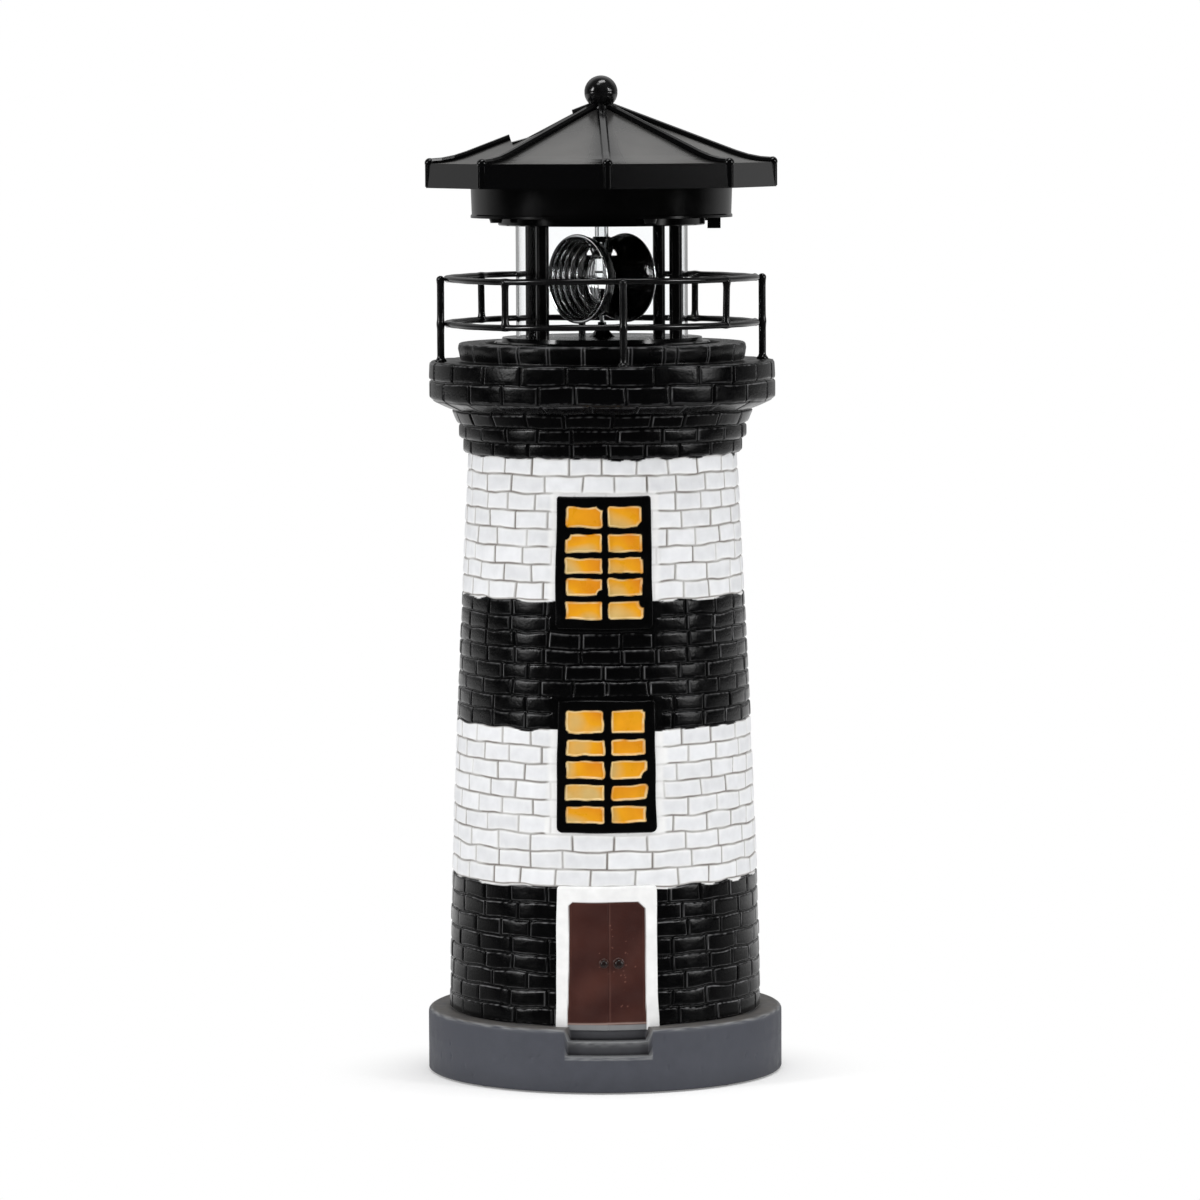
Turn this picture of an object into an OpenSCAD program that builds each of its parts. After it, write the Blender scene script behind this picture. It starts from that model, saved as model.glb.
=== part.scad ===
// Garden lighthouse ornament with a solar lamp and a turning beacon.
// A hollow resin tower carries a gallery railing and a plastic lamp unit that lifts out.
// Millimetres. +Z up, the door faces -Y, and the origin is the middle of what it stands on.

/* [Base and tower] */
// Radius of the round base
base_r = 64.3; // [62:0.1:80]
// Height of the base's top above the ground
base_top = 23; // [16:0.5:40]
// Rounding of the base's top edge
base_round = 1.8; // [0.5:0.1:4]
// Radius of the tower at its foot
foot_r = 56.3; // [48:0.1:60]
// Radius of the tower at its neck
neck_r = 48.3; // [44:0.1:52]
// How late the taper starts: 1 is a straight cone
taper_power = 1.4; // [1:0.05:2]
// Thickness of the resin wall
wall = 5; // [3:0.1:8]
// Height of each painted band, from the lowest
band_h = [49.8, 55.9, 45.6, 50.4];
// Courses of bricks in each band
band_courses = [8, 9, 8, 8];
// Height of the joint between two courses
joint_h = 0.9; // [0.4:0.1:1.5]
// Depth of the joint between two courses
joint_d = 0.55; // [0.2:0.05:1]

/* [Steps] */
// Width of the steps
step_w = 31.5; // [20:0.5:40]
// Rise of each step
step_rise = 4.8; // [3:0.1:8]
// Number of steps cut into the base
step_count = 2; // [1:1:3]

/* [Gallery] */
// Radii of the corbel courses under the gallery
corbel_r = [50.3, 51.7, 52.2, 54.4];
// Height of one corbel course
corbel_h = 5.13; // [3:0.1:8]
// Height of the flare up to the gallery
flare_h = 3.7; // [2:0.1:8]
// Radius of the gallery
gallery_r = 62.3; // [58:0.1:64]
// Height of one of the gallery's two courses
gallery_h = 6.85; // [4:0.05:10]
// Radius of the kerb on the deck
kerb_r = 52; // [46:0.1:54]
// Height of the kerb
kerb_h = 6.6; // [4:0.1:12]
// Radius of the recess that the lamp unit sits in
recess_r = 41.9; // [40:0.1:46]
// Depth of that recess
recess_d = 2.1; // [1:0.1:4]
// Thickness of the resin under the deck
deck_t = 10; // [6:0.5:16]

/* [Windows and door] */
// Turn of the windows and door from the front
front_turn = 1; // [-5:0.5:5]
// Width of a window frame
window_w = 34.5; // [24:0.5:40]
// Height of a window frame
window_h = 47.3; // [36:0.1:52]
// Height of the lower window's sill
window_low = 91.9; // [80:0.1:110]
// Height of the upper window's sill
window_high = 164; // [150:0.1:170]
// Width of a frame's border
frame_w = 3.8; // [2:0.1:5]
// Width of a glazing bar
bar_w = 2.2; // [1:0.1:3]
// Columns of panes
pane_cols = 2; // [1:1:3]
// Rows of panes
pane_rows = 5; // [3:1:6]
// How far a frame stands out of the bricks
frame_proud = 1.3; // [0.8:0.1:2]
// How far a pane stands out of the bricks
pane_proud = 0.3; // [0.1:0.1:0.6]
// Width of the door's surround
surround_w = 36.7; // [30:0.1:44]
// Height of the surround's top
surround_top = 73.5; // [60:0.1:80]
// Width of the door
door_w = 29; // [20:0.1:32]
// Height of the door's top
door_top = 67.6; // [50:0.1:70]
// Radius of a door knob
knob_r = 1.6; // [1:0.1:2.5]

/* [Railing] */
// Radius of the rings' middle line
ring_r = 55.9; // [53:0.1:58]
// Thickness of the ring wire
ring_d = 2.4; // [1.5:0.1:4]
// Height of the top ring over the deck
ring_top = 29.7; // [20:0.1:34]
// Height of the lower ring over the deck
ring_low = 13.5; // [8:0.1:18]
// Thickness of a long post
post_d = 2.7; // [1.5:0.1:4]
// Depth of a post's hole in the deck
post_hole = 4; // [2:0.5:8]
// Turn of the first long post from the front
post_turn = 7.2; // [0:0.1:45]
// Thickness of a short baluster between the rings
baluster_d = 2.6; // [1.5:0.1:4]

/* [Lamp unit] */
// Radius of the floor disc
floor_r = 39; // [37:0.1:40]
// Thickness of the floor disc's edge
floor_t = 2.6; // [2:0.1:4]
// Radius of the raised middle of the floor disc
floor_step_r = 36.4; // [36.3:0.1:37]
// Height of that raised middle over the edge
floor_step = 1.4; // [0.8:0.1:2]
// Outer radius of the clear tube
tube_r = 31; // [26:0.1:31]
// Wall of the clear tube
tube_wall = 1; // [0.8:0.1:2]
// Visible height between the floor disc and the roof housing
lantern_h = 40.2; // [36:0.1:60]
// Radius of a lamp post
lamp_post_r = 2.3; // [2:0.1:2.4]
// Distance of a lamp post from the middle
lamp_post_at = 33.8; // [33.6:0.1:33.9]
// Turn of the first lamp post from the front
lamp_post_turn = 51.3; // [45:0.1:60]

/* [Roof housing] */
// Radius of the lower lip
lip_r = 37.3; // [36.6:0.1:37.6]
// Thickness of the lower lip
lip_t = 2.8; // [2:0.1:4]
// Radius of the drum at its top
drum_r = 47.2; // [46.8:0.1:50]
// Height of the drum
drum_h = 13; // [12:0.1:18]
// Wall of the drum and of the roof
shell_t = 1.9; // [1.4:0.1:2.4]
// Half width of the roof over two of its corners
roof_r = 62.6; // [58:0.1:63]
// Height of the roof's fascia
fascia_h = 8.8; // [6:0.1:12]
// How far the fascia hangs below the top of the drum
fascia_drop = 2.2; // [1:0.1:4]
// Slope of the roof along its hips
hip_slope = 0.382; // [0.3:0.01:0.5]
// Radius at which the hips start to flare
flare_r = 48; // [40:0.5:52]
// Radius of a hip rib
rib_r = 1.65; // [1:0.05:2.2]
// Turn of the roof's first corner from the front
roof_turn = 2; // [0:0.5:22]
// Radius of the ball on top
ball_r = 6; // [4:0.1:8]
// Height of the ball's middle over the tip of the roof
ball_rise = 4.2; // [3.5:0.1:5]

/* [Solar panel] */
// Distance of the panel's upper edge from the middle
panel_in = 10; // [9:0.1:12]
// Distance of the panel's lower edge from the middle
panel_out = 31.5; // [26:0.1:36]
// Half width of the panel at its upper edge
panel_half_in = 6; // [4:0.1:6.5]
// Half width of the panel at its lower edge
panel_half_out = 13; // [10:0.1:14]
// Thickness of the panel with its cells
panel_t = 1.3; // [0.8:0.1:2]
// Thickness of the clear cover over the cells
cover_t = 0.4; // [0.2:0.1:0.8]
// Slope of the panel
panel_slope = 0.277; // [0.2:0.01:0.38]
// Depth of the panel's face under the hip at its lower edge
panel_sink = 1.4; // [1:0.1:2]
// Corner of the roof that the panel lies on, counted from the front
panel_corner = 6; // [0:1:7]

/* [Beacon] */
// Radius of a reflector's mouth
bell_r = 15.75; // [12:0.05:17]
// Distance of a reflector's mouth from the axis
bell_out = 12; // [10:0.1:14]
// Radius of a reflector's neck
bell_neck_r = 5.2; // [4.5:0.1:6]
// Distance of a reflector's neck from the axis
bell_in = 4; // [3.6:0.1:4.5]
// Wall of a reflector
bell_wall = 0.9; // [0.6:0.1:1.4]
// Steps in a reflector
bell_steps = 9; // [5:1:14]
// Height of the beacon's middle over the floor disc
bell_z = 21; // [18.5:0.1:21.5]
// Direction that the first reflector faces, from the front
bell_turn = -48.5; // [-180:0.5:180]
// Radius of the beacon's shaft
shaft_r = 0.75; // [0.6:0.05:0.9]
// Height of the flared bearing foot
bearing_h = 5.3; // [3:0.1:7]
// Radius of the lamp's bulb and of the clear tube that it hangs from
led_r = 2.45; // [2:0.05:2.6]
// Wall of the lamp's clear tube
led_wall = 0.55; // [0.4:0.05:0.8]

/* [Drive] */
// Module of the gears
gear_module = 0.35; // [0.3:0.01:0.36]
// Teeth of a wheel
wheel_teeth = 48; // [40:2:48]
// Teeth of a pinion
pinion_teeth = 12; // [12:1:14]
// Width of a gear
gear_w = 2; // [1.2:0.1:2.2]
// Step from one gear's level to the next
gear_level = 3; // [2.6:0.1:3.2]
// Play between two teeth
backlash = 0.12; // [0.06:0.01:0.16]
// Radius of a gear's steel arbor
arbor_r = 0.5; // [0.4:0.05:0.7]
// Outer radius of the motor can
can_r = 23.6; // [23.4:0.1:25]
// Wall of the motor can
can_wall = 1.5; // [1:0.1:1.8]
// Height of the motor can
can_h = 36; // [34:0.5:44]
// Radius of the motor
motor_r = 7.75; // [6:0.05:8]
// Length of the motor
motor_h = 18; // [14:0.5:20]
// Thickness of the gear plate
plate_t = 1.8; // [1.2:0.1:2.4]

/* [Electrics] */
// Radius of the battery cell
cell_r = 7.1; // [6.8:0.1:7.25]
// Length of the battery cell
cell_l = 48; // [40:0.5:50.5]
// Length of the circuit board
board_l = 34; // [28:0.5:38]
// Width of the circuit board
board_w = 20; // [16:0.5:21]
// Width of the switch's knob
switch_w = 4.7; // [3:0.1:5]
// Length of the switch's knob along its travel
switch_l = 3.6; // [2.5:0.1:4]
// Travel of the switch
switch_travel = 2.5; // [1.5:0.1:3]
// How far the switch sits in from the edge of the drum
switch_in = 6.7; // [6.6:0.1:6.9]
// Radius of a wire
wire_r = 0.5; // [0.4:0.05:0.55]

/* [Fits and fixings] */
// Gap between the lamp unit and the tower
lift_gap = 0.4; // [0.2:0.05:0.8]
// Gap around a shaft that turns
running_gap = 0.03; // [0.02:0.01:0.08]
// Gap around a piece that is glued or dropped in
seat_gap = 0.05; // [0.02:0.01:0.1]
// Gap around a piece that slides
slide_gap = 0.3; // [0.2:0.05:0.5]
// Height of a rubber foot pad
pad_h = 0.6; // [0.4:0.1:2]
// Radius of a foot pad
pad_r = 3.6; // [2.5:0.1:5]
// Radius of a screw's shank
screw_r = 1.25; // [1:0.05:1.5]
// Radius of a small screw's shank
small_screw_r = 0.7; // [0.5:0.05:0.9]

/* [Hidden] */

$fn = 96;
lap = 1;                                   // how far a cut runs past a face
neck_z = base_top + band_h[0] + band_h[1] + band_h[2] + band_h[3];
corbel_z = neck_z + 3 * corbel_h;
gallery_z = corbel_z + flare_h;
deck_z = gallery_z + 2 * gallery_h;
kerb_z = deck_z + kerb_h;
seat_z = kerb_z - recess_d;                // what the lamp unit rests on
floor_z = seat_z + floor_t + floor_step;   // top of the floor disc
lip_z = floor_z + lantern_h;               // underside of the housing's lip
drum_z = lip_z + lip_t;                    // underside of the drum
eaves_z = drum_z + drum_h - fascia_drop;   // lower edge of the fascia
fascia_z = eaves_z + fascia_h;             // upper edge of the fascia
flare_run = roof_r - flare_r;
flare_curve = (hip_slope * flare_run) / (2 * flare_run * flare_run);
roof_top = fascia_z + hip_slope * flare_run - flare_curve * flare_run * flare_run + hip_slope * flare_r;
ball_z = roof_top + ball_rise;
beacon_z = floor_z + bell_z;
front = -90;                               // the door's side, as an angle from +X

// ---- Tower ----

// Radius of the brickwork at a height: straight at the foot, then drawn in towards the neck
function tower_r(z) =
  foot_r - (foot_r - neck_r) * pow(max(0, (z - base_top) / (neck_z - base_top)), taper_power);

// Height at which a band starts
function band_z(i) = i == 0 ? base_top : band_z(i - 1) + band_h[i - 1];

// Outline of one course, from its lower joint to its upper one
function course(z1, z2, r1, r2) = [
  [r1 - joint_d, z1 + joint_h / 4],
  [r1, z1 + joint_h * 3 / 4],
  [r2, z2 - joint_h * 3 / 4],
  [r2 - joint_d, z2 - joint_h / 4]
];

function brick_outline() = [
  for (b = [0:len(band_h) - 1])
    for (i = [0:band_courses[b] - 1])
      let (
        h = band_h[b] / band_courses[b],
        z1 = band_z(b) + i * h,
        z2 = z1 + h
      )
      each course(z1, z2, tower_r(z1), tower_r(z2))
];

function corbel_outline() = [
  for (i = [0:2])
    each course(neck_z + i * corbel_h, neck_z + (i + 1) * corbel_h, corbel_r[i],
      i == 2 ? corbel_r[3] : corbel_r[i]),
  [gallery_r - joint_d, gallery_z],
  for (i = [0:1])
    each course(gallery_z + i * gallery_h, gallery_z + (i + 1) * gallery_h, gallery_r, gallery_r)
];

function base_outline() = [
  [foot_r - wall, pad_h],
  [base_r - base_round / 2, pad_h],
  [base_r, pad_h + base_round / 2],
  for (a = [0:22.5:90]) [
    base_r - base_round * (1 - cos(a)),
    base_top - base_round * (1 - sin(a))
  ]
];

socket_r = can_r + lift_gap;
inner_top_r = neck_r - wall;
ceiling_z = deck_z - deck_t;

module tower_body() {
  rotate_extrude()
    polygon([
      each base_outline(),
      each brick_outline(),
      each corbel_outline(),
      [kerb_r - joint_d, deck_z],
      [kerb_r, deck_z + joint_h],
      [kerb_r, kerb_z - joint_h],
      [kerb_r - joint_h, kerb_z],
      [recess_r, kerb_z],
      [recess_r, seat_z],
      [socket_r, seat_z],
      [socket_r, ceiling_z],
      [inner_top_r, ceiling_z],
      [inner_top_r, neck_z],
      for (f = [0.75, 0.5, 0.25])
        let (z = base_top + f * (neck_z - base_top)) [tower_r(z) - wall, z],
      [foot_r - wall, base_top]
    ]);
}

// A plate that follows the tower's front: the outline stands up in the tower's front view
module front_relief(z1, z2, proud, depth = wall / 2) {
  intersection() {
    rotate([0, 0, front - 30])
      rotate_extrude(angle = 60)
        polygon([
          [tower_r(z1) - depth, z1],
          [tower_r(z1) + proud, z1],
          [tower_r(z2) + proud, z2],
          [tower_r(z2) - depth, z2]
        ]);
    rotate([90, 0, 0])
      linear_extrude(height = base_r + wall)
        children();
  }
}

module round_box(w, h, r) {
  translate([-w / 2 + r, 0])
    square([w - 2 * r, h]);
  translate([-w / 2, r])
    square([w, h - 2 * r]);
  for (x = [-w / 2 + r, w / 2 - r])
    for (y = [r, h - r])
      translate([x, y])
        circle(r);
}

pane_w = (window_w - 2 * frame_w - (pane_cols - 1) * bar_w) / pane_cols;
pane_h = (window_h - 2 * frame_w - (pane_rows - 1) * bar_w) / pane_rows;

module window(z) {
  front_relief(z, z + window_h, pane_proud)
    translate([0, z])
      round_box(window_w, window_h, frame_w * 0.8);
  front_relief(z, z + window_h, frame_proud)
    translate([0, z])
      difference() {
        round_box(window_w, window_h, frame_w * 0.8);
        for (c = [0:pane_cols - 1])
          for (r = [0:pane_rows - 1])
            translate([
              -window_w / 2 + frame_w + c * (pane_w + bar_w),
              frame_w + r * (pane_h + bar_w)
            ])
              square([pane_w, pane_h]);
      }
}

door_sill = base_top + 1.9;
door_mid = (door_sill + door_top) / 2;
door_gap = 0.6;                            // line between the two leaves

module door() {
  front_relief(base_top - lap / 2, surround_top, frame_proud)
    translate([0, base_top - lap / 2])
      difference() {
        round_box(surround_w, surround_top - base_top + lap / 2, frame_w * 0.8);
        translate([0, door_sill - base_top + lap / 2])
          round_box(door_w, door_top - door_sill, frame_w / 2);
      }
  front_relief(base_top, door_top + lap, pane_proud)
    for (side = [-1, 1])
      translate([side * (door_w / 4 + door_gap / 4 + lap / 4) - door_w / 4 - lap / 4, base_top])
        square([door_w / 2 + lap / 2 - door_gap / 2, door_top - base_top + lap]);
  for (side = [-1, 1])
    translate([side * (knob_r + door_gap * 2), -tower_r(door_mid) - pane_proud, door_mid])
      sphere(knob_r);
}

step_run = (base_r - foot_r) / step_count;

module step_cuts() {
  for (i = [0:step_count - 1])
    translate([
      -step_w / 2,
      -base_r - lap,
      base_top - (step_count - i) * step_rise
    ])
      cube([step_w, lap + (i + 1) * step_run, (step_count - i) * step_rise + lap]);
}

post_at = ring_r + ring_d / 2 + post_d / 2 + seat_gap;

// Places a copy at each of these turns from the front
module turned(turns) {
  for (a = turns)
    rotate([0, 0, front + a])
      children();
}

// Places copies around the axis, the first one turned from the front
module around(count, turn) {
  for (i = [0:count - 1])
    rotate([0, 0, front + turn + i * 360 / count])
      children();
}

module tower_casting() {
  color("#e4e3df")
    difference() {
      union() {
        tower_body();
        rotate([0, 0, front_turn]) {
          window(window_low);
          window(window_high);
          door();
        }
      }
      rotate([0, 0, front_turn])
        step_cuts();
      around(4, post_turn)
        translate([post_at, 0, deck_z - post_hole])
          cylinder(r = post_d / 2 + seat_gap, h = post_hole + lap);
    }
}

pad_at = (foot_r - wall + base_r) / 2;

module foot_pads() {
  color("#202020")
    around(4, 45)
      translate([pad_at, 0, 0])
        cylinder(r = pad_r, h = pad_h);
}

// ---- Railing ----

module rail_ring(height, grow = 0) {
  translate([0, 0, deck_z + height])
    rotate_extrude()
      translate([ring_r, 0])
        circle(ring_d / 2 + grow);
}

module railing_top_ring() {
  color("#1c1b1b")
    rail_ring(ring_top);
}

module railing_lower_ring() {
  color("#1c1b1b")
    rail_ring(ring_low);
}

module railing_posts() {
  color("#1c1b1b")
    around(4, post_turn)
      translate([post_at, 0, deck_z - post_hole + seat_gap]) {
        cylinder(r = post_d / 2, h = post_hole + ring_top + ring_d / 2 - seat_gap - post_d / 4);
        translate([0, 0, post_hole + ring_top + ring_d / 2 - seat_gap - post_d / 4])
          cylinder(r1 = post_d / 2, r2 = post_d / 4, h = post_d / 4);
      }
}

module railing_balusters() {
  color("#1c1b1b")
    difference() {
      around(4, post_turn + 45)
        translate([ring_r, 0, deck_z + ring_low])
          cylinder(r = baluster_d / 2, h = ring_top - ring_low);
      rail_ring(ring_top, seat_gap);
      rail_ring(ring_low, seat_gap);
      // What is left beside the rings' own thickness comes away
      for (z = [ring_low, ring_top])
        translate([0, 0, deck_z + z - ring_d / 4])
          cylinder(r = base_r, h = ring_d / 2);
    }
}

// ---- Lamp unit's floor and lantern ----

lead_post = 3;                             // the lamp post that the motor's leads run in
lead_turn = lamp_post_turn + lead_post * 90;
post_socket = floor_t / 2 + floor_step;
tube_seat = 1;
post_bore_r = 2 * wire_r + 0.4;
pillar_at = can_r - can_wall - 2.7;
pillar_r = 1.9;
gear_top = seat_z - 2.5;                   // top of the highest gear
plate_z = gear_top - gear_w - 2 * gear_level - 2.9;
ring_wall = 1.4;
drop_at = can_r - can_wall - ring_wall - seat_gap - 1.3;

module floor_disc() {
  color("#191919")
    difference() {
      union() {
        rotate_extrude()
          polygon([
            [0, seat_z],
            [floor_r, seat_z],
            [floor_r, seat_z + floor_t - 0.5],
            [floor_r - 0.5, seat_z + floor_t],
            [floor_step_r, seat_z + floor_t],
            [floor_step_r - 0.4, floor_z],
            [shaft_r + 4, floor_z],
            for (f = [0.2:0.2:1]) [
              shaft_r + 0.7 + 3.3 * pow(1 - f, 2),
              floor_z + bearing_h * f
            ],
            [0, floor_z + bearing_h]
          ]);
        for (a = [30, 150, 270])
          rotate([0, 0, a])
            translate([pillar_at, 0, plate_z + plate_t])
              cylinder(r = pillar_r, h = seat_z - plate_z - plate_t + lap / 2);
        translate([0, 0, seat_z - 3])
          difference() {
            cylinder(r = can_r - can_wall - seat_gap, h = 3 + lap / 2);
            translate([0, 0, -lap])
              cylinder(r = can_r - can_wall - seat_gap - ring_wall, h = 3 + lap);
          }
      }
      // Groove that the clear tube stands in
      translate([0, 0, floor_z - tube_seat])
        difference() {
          cylinder(r = tube_r + seat_gap, h = tube_seat + lap);
          translate([0, 0, -lap])
            cylinder(r = tube_r - tube_wall - seat_gap, h = tube_seat + 3 * lap);
        }
      around(4, lamp_post_turn)
        translate([lamp_post_at, 0, floor_z - post_socket])
          cylinder(r = lamp_post_r + seat_gap, h = post_socket + lap);
      // Way for the motor's leads, from the post's foot to inside the can
      rotate([0, 0, front + lead_turn])
        translate([drop_at - 2 * wire_r, -2 * wire_r - 0.3, seat_z - lap])
          cube([lamp_post_at - drop_at + 4 * wire_r, 4 * wire_r + 0.6, lap + floor_t / 2 + 0.2]);
      rotate([0, 0, front + lead_turn])
        translate([drop_at - 2 * wire_r, -2 * wire_r - 0.3, seat_z - 3 - lap])
          cube([4.2, 4 * wire_r + 0.6, 3 + 2 * lap]);
      translate([0, 0, seat_z - lap])
        cylinder(r = shaft_r + running_gap, h = floor_z + bearing_h - seat_z + 2 * lap);
      for (p = [upper_at, lower_at])
        translate([p[0], p[1], seat_z - lap])
          cylinder(r = arbor_r, h = lap + 2);
      for (a = [30, 150, 270])
        rotate([0, 0, a])
          translate([pillar_at, 0, plate_z + plate_t - lap])
            cylinder(r = small_screw_r, h = 6 + lap);
    }
}

lamp_post_h = lantern_h + post_socket + lip_t / 2;

module lamp_posts() {
  color("#161616")
    around(4, lamp_post_turn)
      translate([lamp_post_at, 0, floor_z - post_socket])
        difference() {
          cylinder(r = lamp_post_r, h = lamp_post_h);
          translate([0, 0, -lap])
            cylinder(r = post_bore_r, h = lamp_post_h + 2 * lap);
        }
}

module clear_tube() {
  color("#dfe8ea", 0.3)
    translate([0, 0, floor_z - tube_seat])
      difference() {
        cylinder(r = tube_r, h = lantern_h + 2 * tube_seat);
        translate([0, 0, -lap])
          cylinder(r = tube_r - tube_wall, h = lantern_h + 2 * tube_seat + 2 * lap);
      }
}

// ---- Housing under the roof ----

lip_screw_at = 20;
lip_screw_turns = [-90, 0, 90];            // clear of the battery, which lies behind the middle

module housing_lip() {
  color("#141414")
    difference() {
      translate([0, 0, lip_z]) {
        cylinder(r1 = lip_r - 0.4, r2 = lip_r, h = 0.4);
        translate([0, 0, 0.4])
          cylinder(r = lip_r, h = lip_t - 0.4);
      }
      translate([0, 0, lip_z - lap])
        difference() {
          cylinder(r = tube_r + seat_gap, h = lap + tube_seat + seat_gap);
          translate([0, 0, -lap])
            cylinder(r = tube_r - tube_wall - seat_gap, h = 3 * lap + tube_seat);
        }
      around(4, lamp_post_turn)
        translate([lamp_post_at, 0, lip_z - lap])
          cylinder(r = lamp_post_r + seat_gap, h = lap + lip_t / 2 + seat_gap);
      rotate([0, 0, front + lead_turn])
        translate([lamp_post_at, 0, lip_z])
          cylinder(r = post_bore_r, h = lip_t + lap);
      translate([0, 0, lip_z - lap])
        cylinder(r = led_r + seat_gap, h = lip_t + 2 * lap);
      turned(lip_screw_turns)
        translate([lip_screw_at, 0, drum_z - 2])
          cylinder(r = small_screw_r, h = 2 + lap);
    }
}

boss_r = 3.2;
roof_screw_at = drum_r - shell_t - boss_r - 0.6;
roof_screw_l = 10;
roof_screw_head = 1.6;
standoff_h = 4;
board_y = -17.5;
cell_y = 15.5;
board_hole_x = board_l / 2 - 2.5;
switch_at = drum_r - switch_in;            // the switch's distance from the middle
slot_l = switch_l + switch_travel + 2 * slide_gap;
slot_w = switch_w + 2 * slide_gap;

module housing_drum() {
  color("#131313")
    difference() {
      union() {
        rotate_extrude()
          polygon([
            [0, drum_z],
            [drum_r, drum_z],
            [drum_r, drum_z + 0.9],
            [drum_r - 0.4, drum_z + 1.3],
            [drum_r, drum_z + drum_h],
            [drum_r - shell_t, drum_z + drum_h],
            [drum_r - shell_t - 0.4, drum_z + shell_t],
            [0, drum_z + shell_t]
          ]);
        for (side = [-1, 1])
          translate([side * board_hole_x, board_y, drum_z + shell_t - lap / 2])
            cylinder(r = 2.2, h = standoff_h + lap / 2);
      }
      translate([0, 0, drum_z - lap])
        cylinder(r = led_r + seat_gap, h = shell_t + 2 * lap);
      rotate([0, 0, front + lead_turn])
        translate([lamp_post_at, 0, drum_z - lap])
          cylinder(r = post_bore_r, h = shell_t + 2 * lap);
      around(8, roof_turn + 22.5)
        translate([roof_screw_at, 0, drum_z - lap])
          cylinder(r = screw_r + seat_gap, h = shell_t + 2 * lap);
      turned(lip_screw_turns)
        translate([lip_screw_at, 0, drum_z - lap])
          cylinder(r = small_screw_r + seat_gap, h = shell_t + 2 * lap);
      translate([switch_at - slot_w / 2, -slot_l / 2, drum_z - lap])
        cube([slot_w, slot_l, shell_t + 2 * lap]);
      for (side = [-1, 1])
        translate([side * board_hole_x, board_y, drum_z + shell_t])
          cylinder(r = small_screw_r, h = standoff_h + lap);
    }
}

// ---- Roof ----

apothem = cos(22.5);

// Height of the roof along a hip, in its outer face
function hip_z(r) =
  r <= flare_r
    ? roof_top - hip_slope * r
    : roof_top - hip_slope * r + flare_curve * (r - flare_r) * (r - flare_r);

// Half of the roof's cross-section over its flats, from the eaves to the tip
function roof_half(inset, low) = [
  [(roof_r + 0.6) * apothem - inset, low],
  [roof_r * apothem - inset, fascia_z - inset / 2],
  for (f = [0.75:-0.25:0])
    let (r = flare_r + f * flare_run) [r * apothem - inset, hip_z(r) - inset],
  [0, roof_top - inset * 1.1]
];

// Eight flats: four bars of the same section, laid across each other
module eight_sided(half, reach) {
  intersection_for (i = [0:3])
    rotate([0, 0, front + roof_turn + 22.5 + i * 45])
      rotate([90, 0, 0])
        linear_extrude(height = reach, center = true)
          polygon([
            each half,
            for (i = [len(half) - 2:-1:0]) [-half[i][0], half[i][1]]
          ]);
}

// A round bar along a line of points: a ring of corners at each point, joined to the next
function unit(v) = v / norm(v);
function bar_dir(p, i) = unit(p[min(i + 1, len(p) - 1)] - p[max(i - 1, 0)]);

module bar(p, r, sides = 8, ref = [0.31, 0.22, 0.92]) {
  rings = [
    for (i = [0:len(p) - 1])
      let (
        t = bar_dir(p, i),
        u = unit(cross(ref, t)),
        v = cross(t, u)
      )
      for (k = [0:sides - 1])
        p[i] + r * (cos(k * 360 / sides) * u + sin(k * 360 / sides) * v)
  ];
  polyhedron(
    points = rings,
    faces = [
      [for (k = [0:sides - 1]) k],
      for (i = [0:len(p) - 2])
        for (k = [0:sides - 1])
          let (n = (k + 1) % sides) each [
            [(i + 1) * sides + n, i * sides + n, i * sides + k],
            [(i + 1) * sides + k, (i + 1) * sides + n, i * sides + k]
          ],
      [for (k = [sides - 1:-1:0]) (len(p) - 1) * sides + k]
    ]
  );
}

rib_rise = 0.15;
tip_r = 5;
bead_r = 1.6;
rib_end = roof_r - 0.8;
rib_points = [
  for (r = [tip_r - 1.5, flare_r, (flare_r * 2 + rib_end) / 3, (flare_r + rib_end * 2) / 3, rib_end])
    [r, 0, hip_z(r) + rib_rise]
];

// Places a child with its X along the panel's slope and its Z out of the roof
panel_angle = atan(panel_slope);
panel_len = (panel_out - panel_in) / cos(panel_angle);
panel_face_z = hip_z(panel_out) - panel_sink;

module on_panel() {
  rotate([0, 0, front + roof_turn + panel_corner * 45])
    translate([panel_out, 0, panel_face_z])
      rotate([0, panel_angle, 0])
        children();
}

module panel_shape(grow, h) {
  linear_extrude(height = h)
    polygon([
      [grow, panel_half_out + grow],
      [grow, -panel_half_out - grow],
      [-panel_len - grow, -panel_half_in - grow],
      [-panel_len - grow, panel_half_in + grow]
    ]);
}

panel_pocket = panel_t + cover_t;
rim = 0.9;

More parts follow.
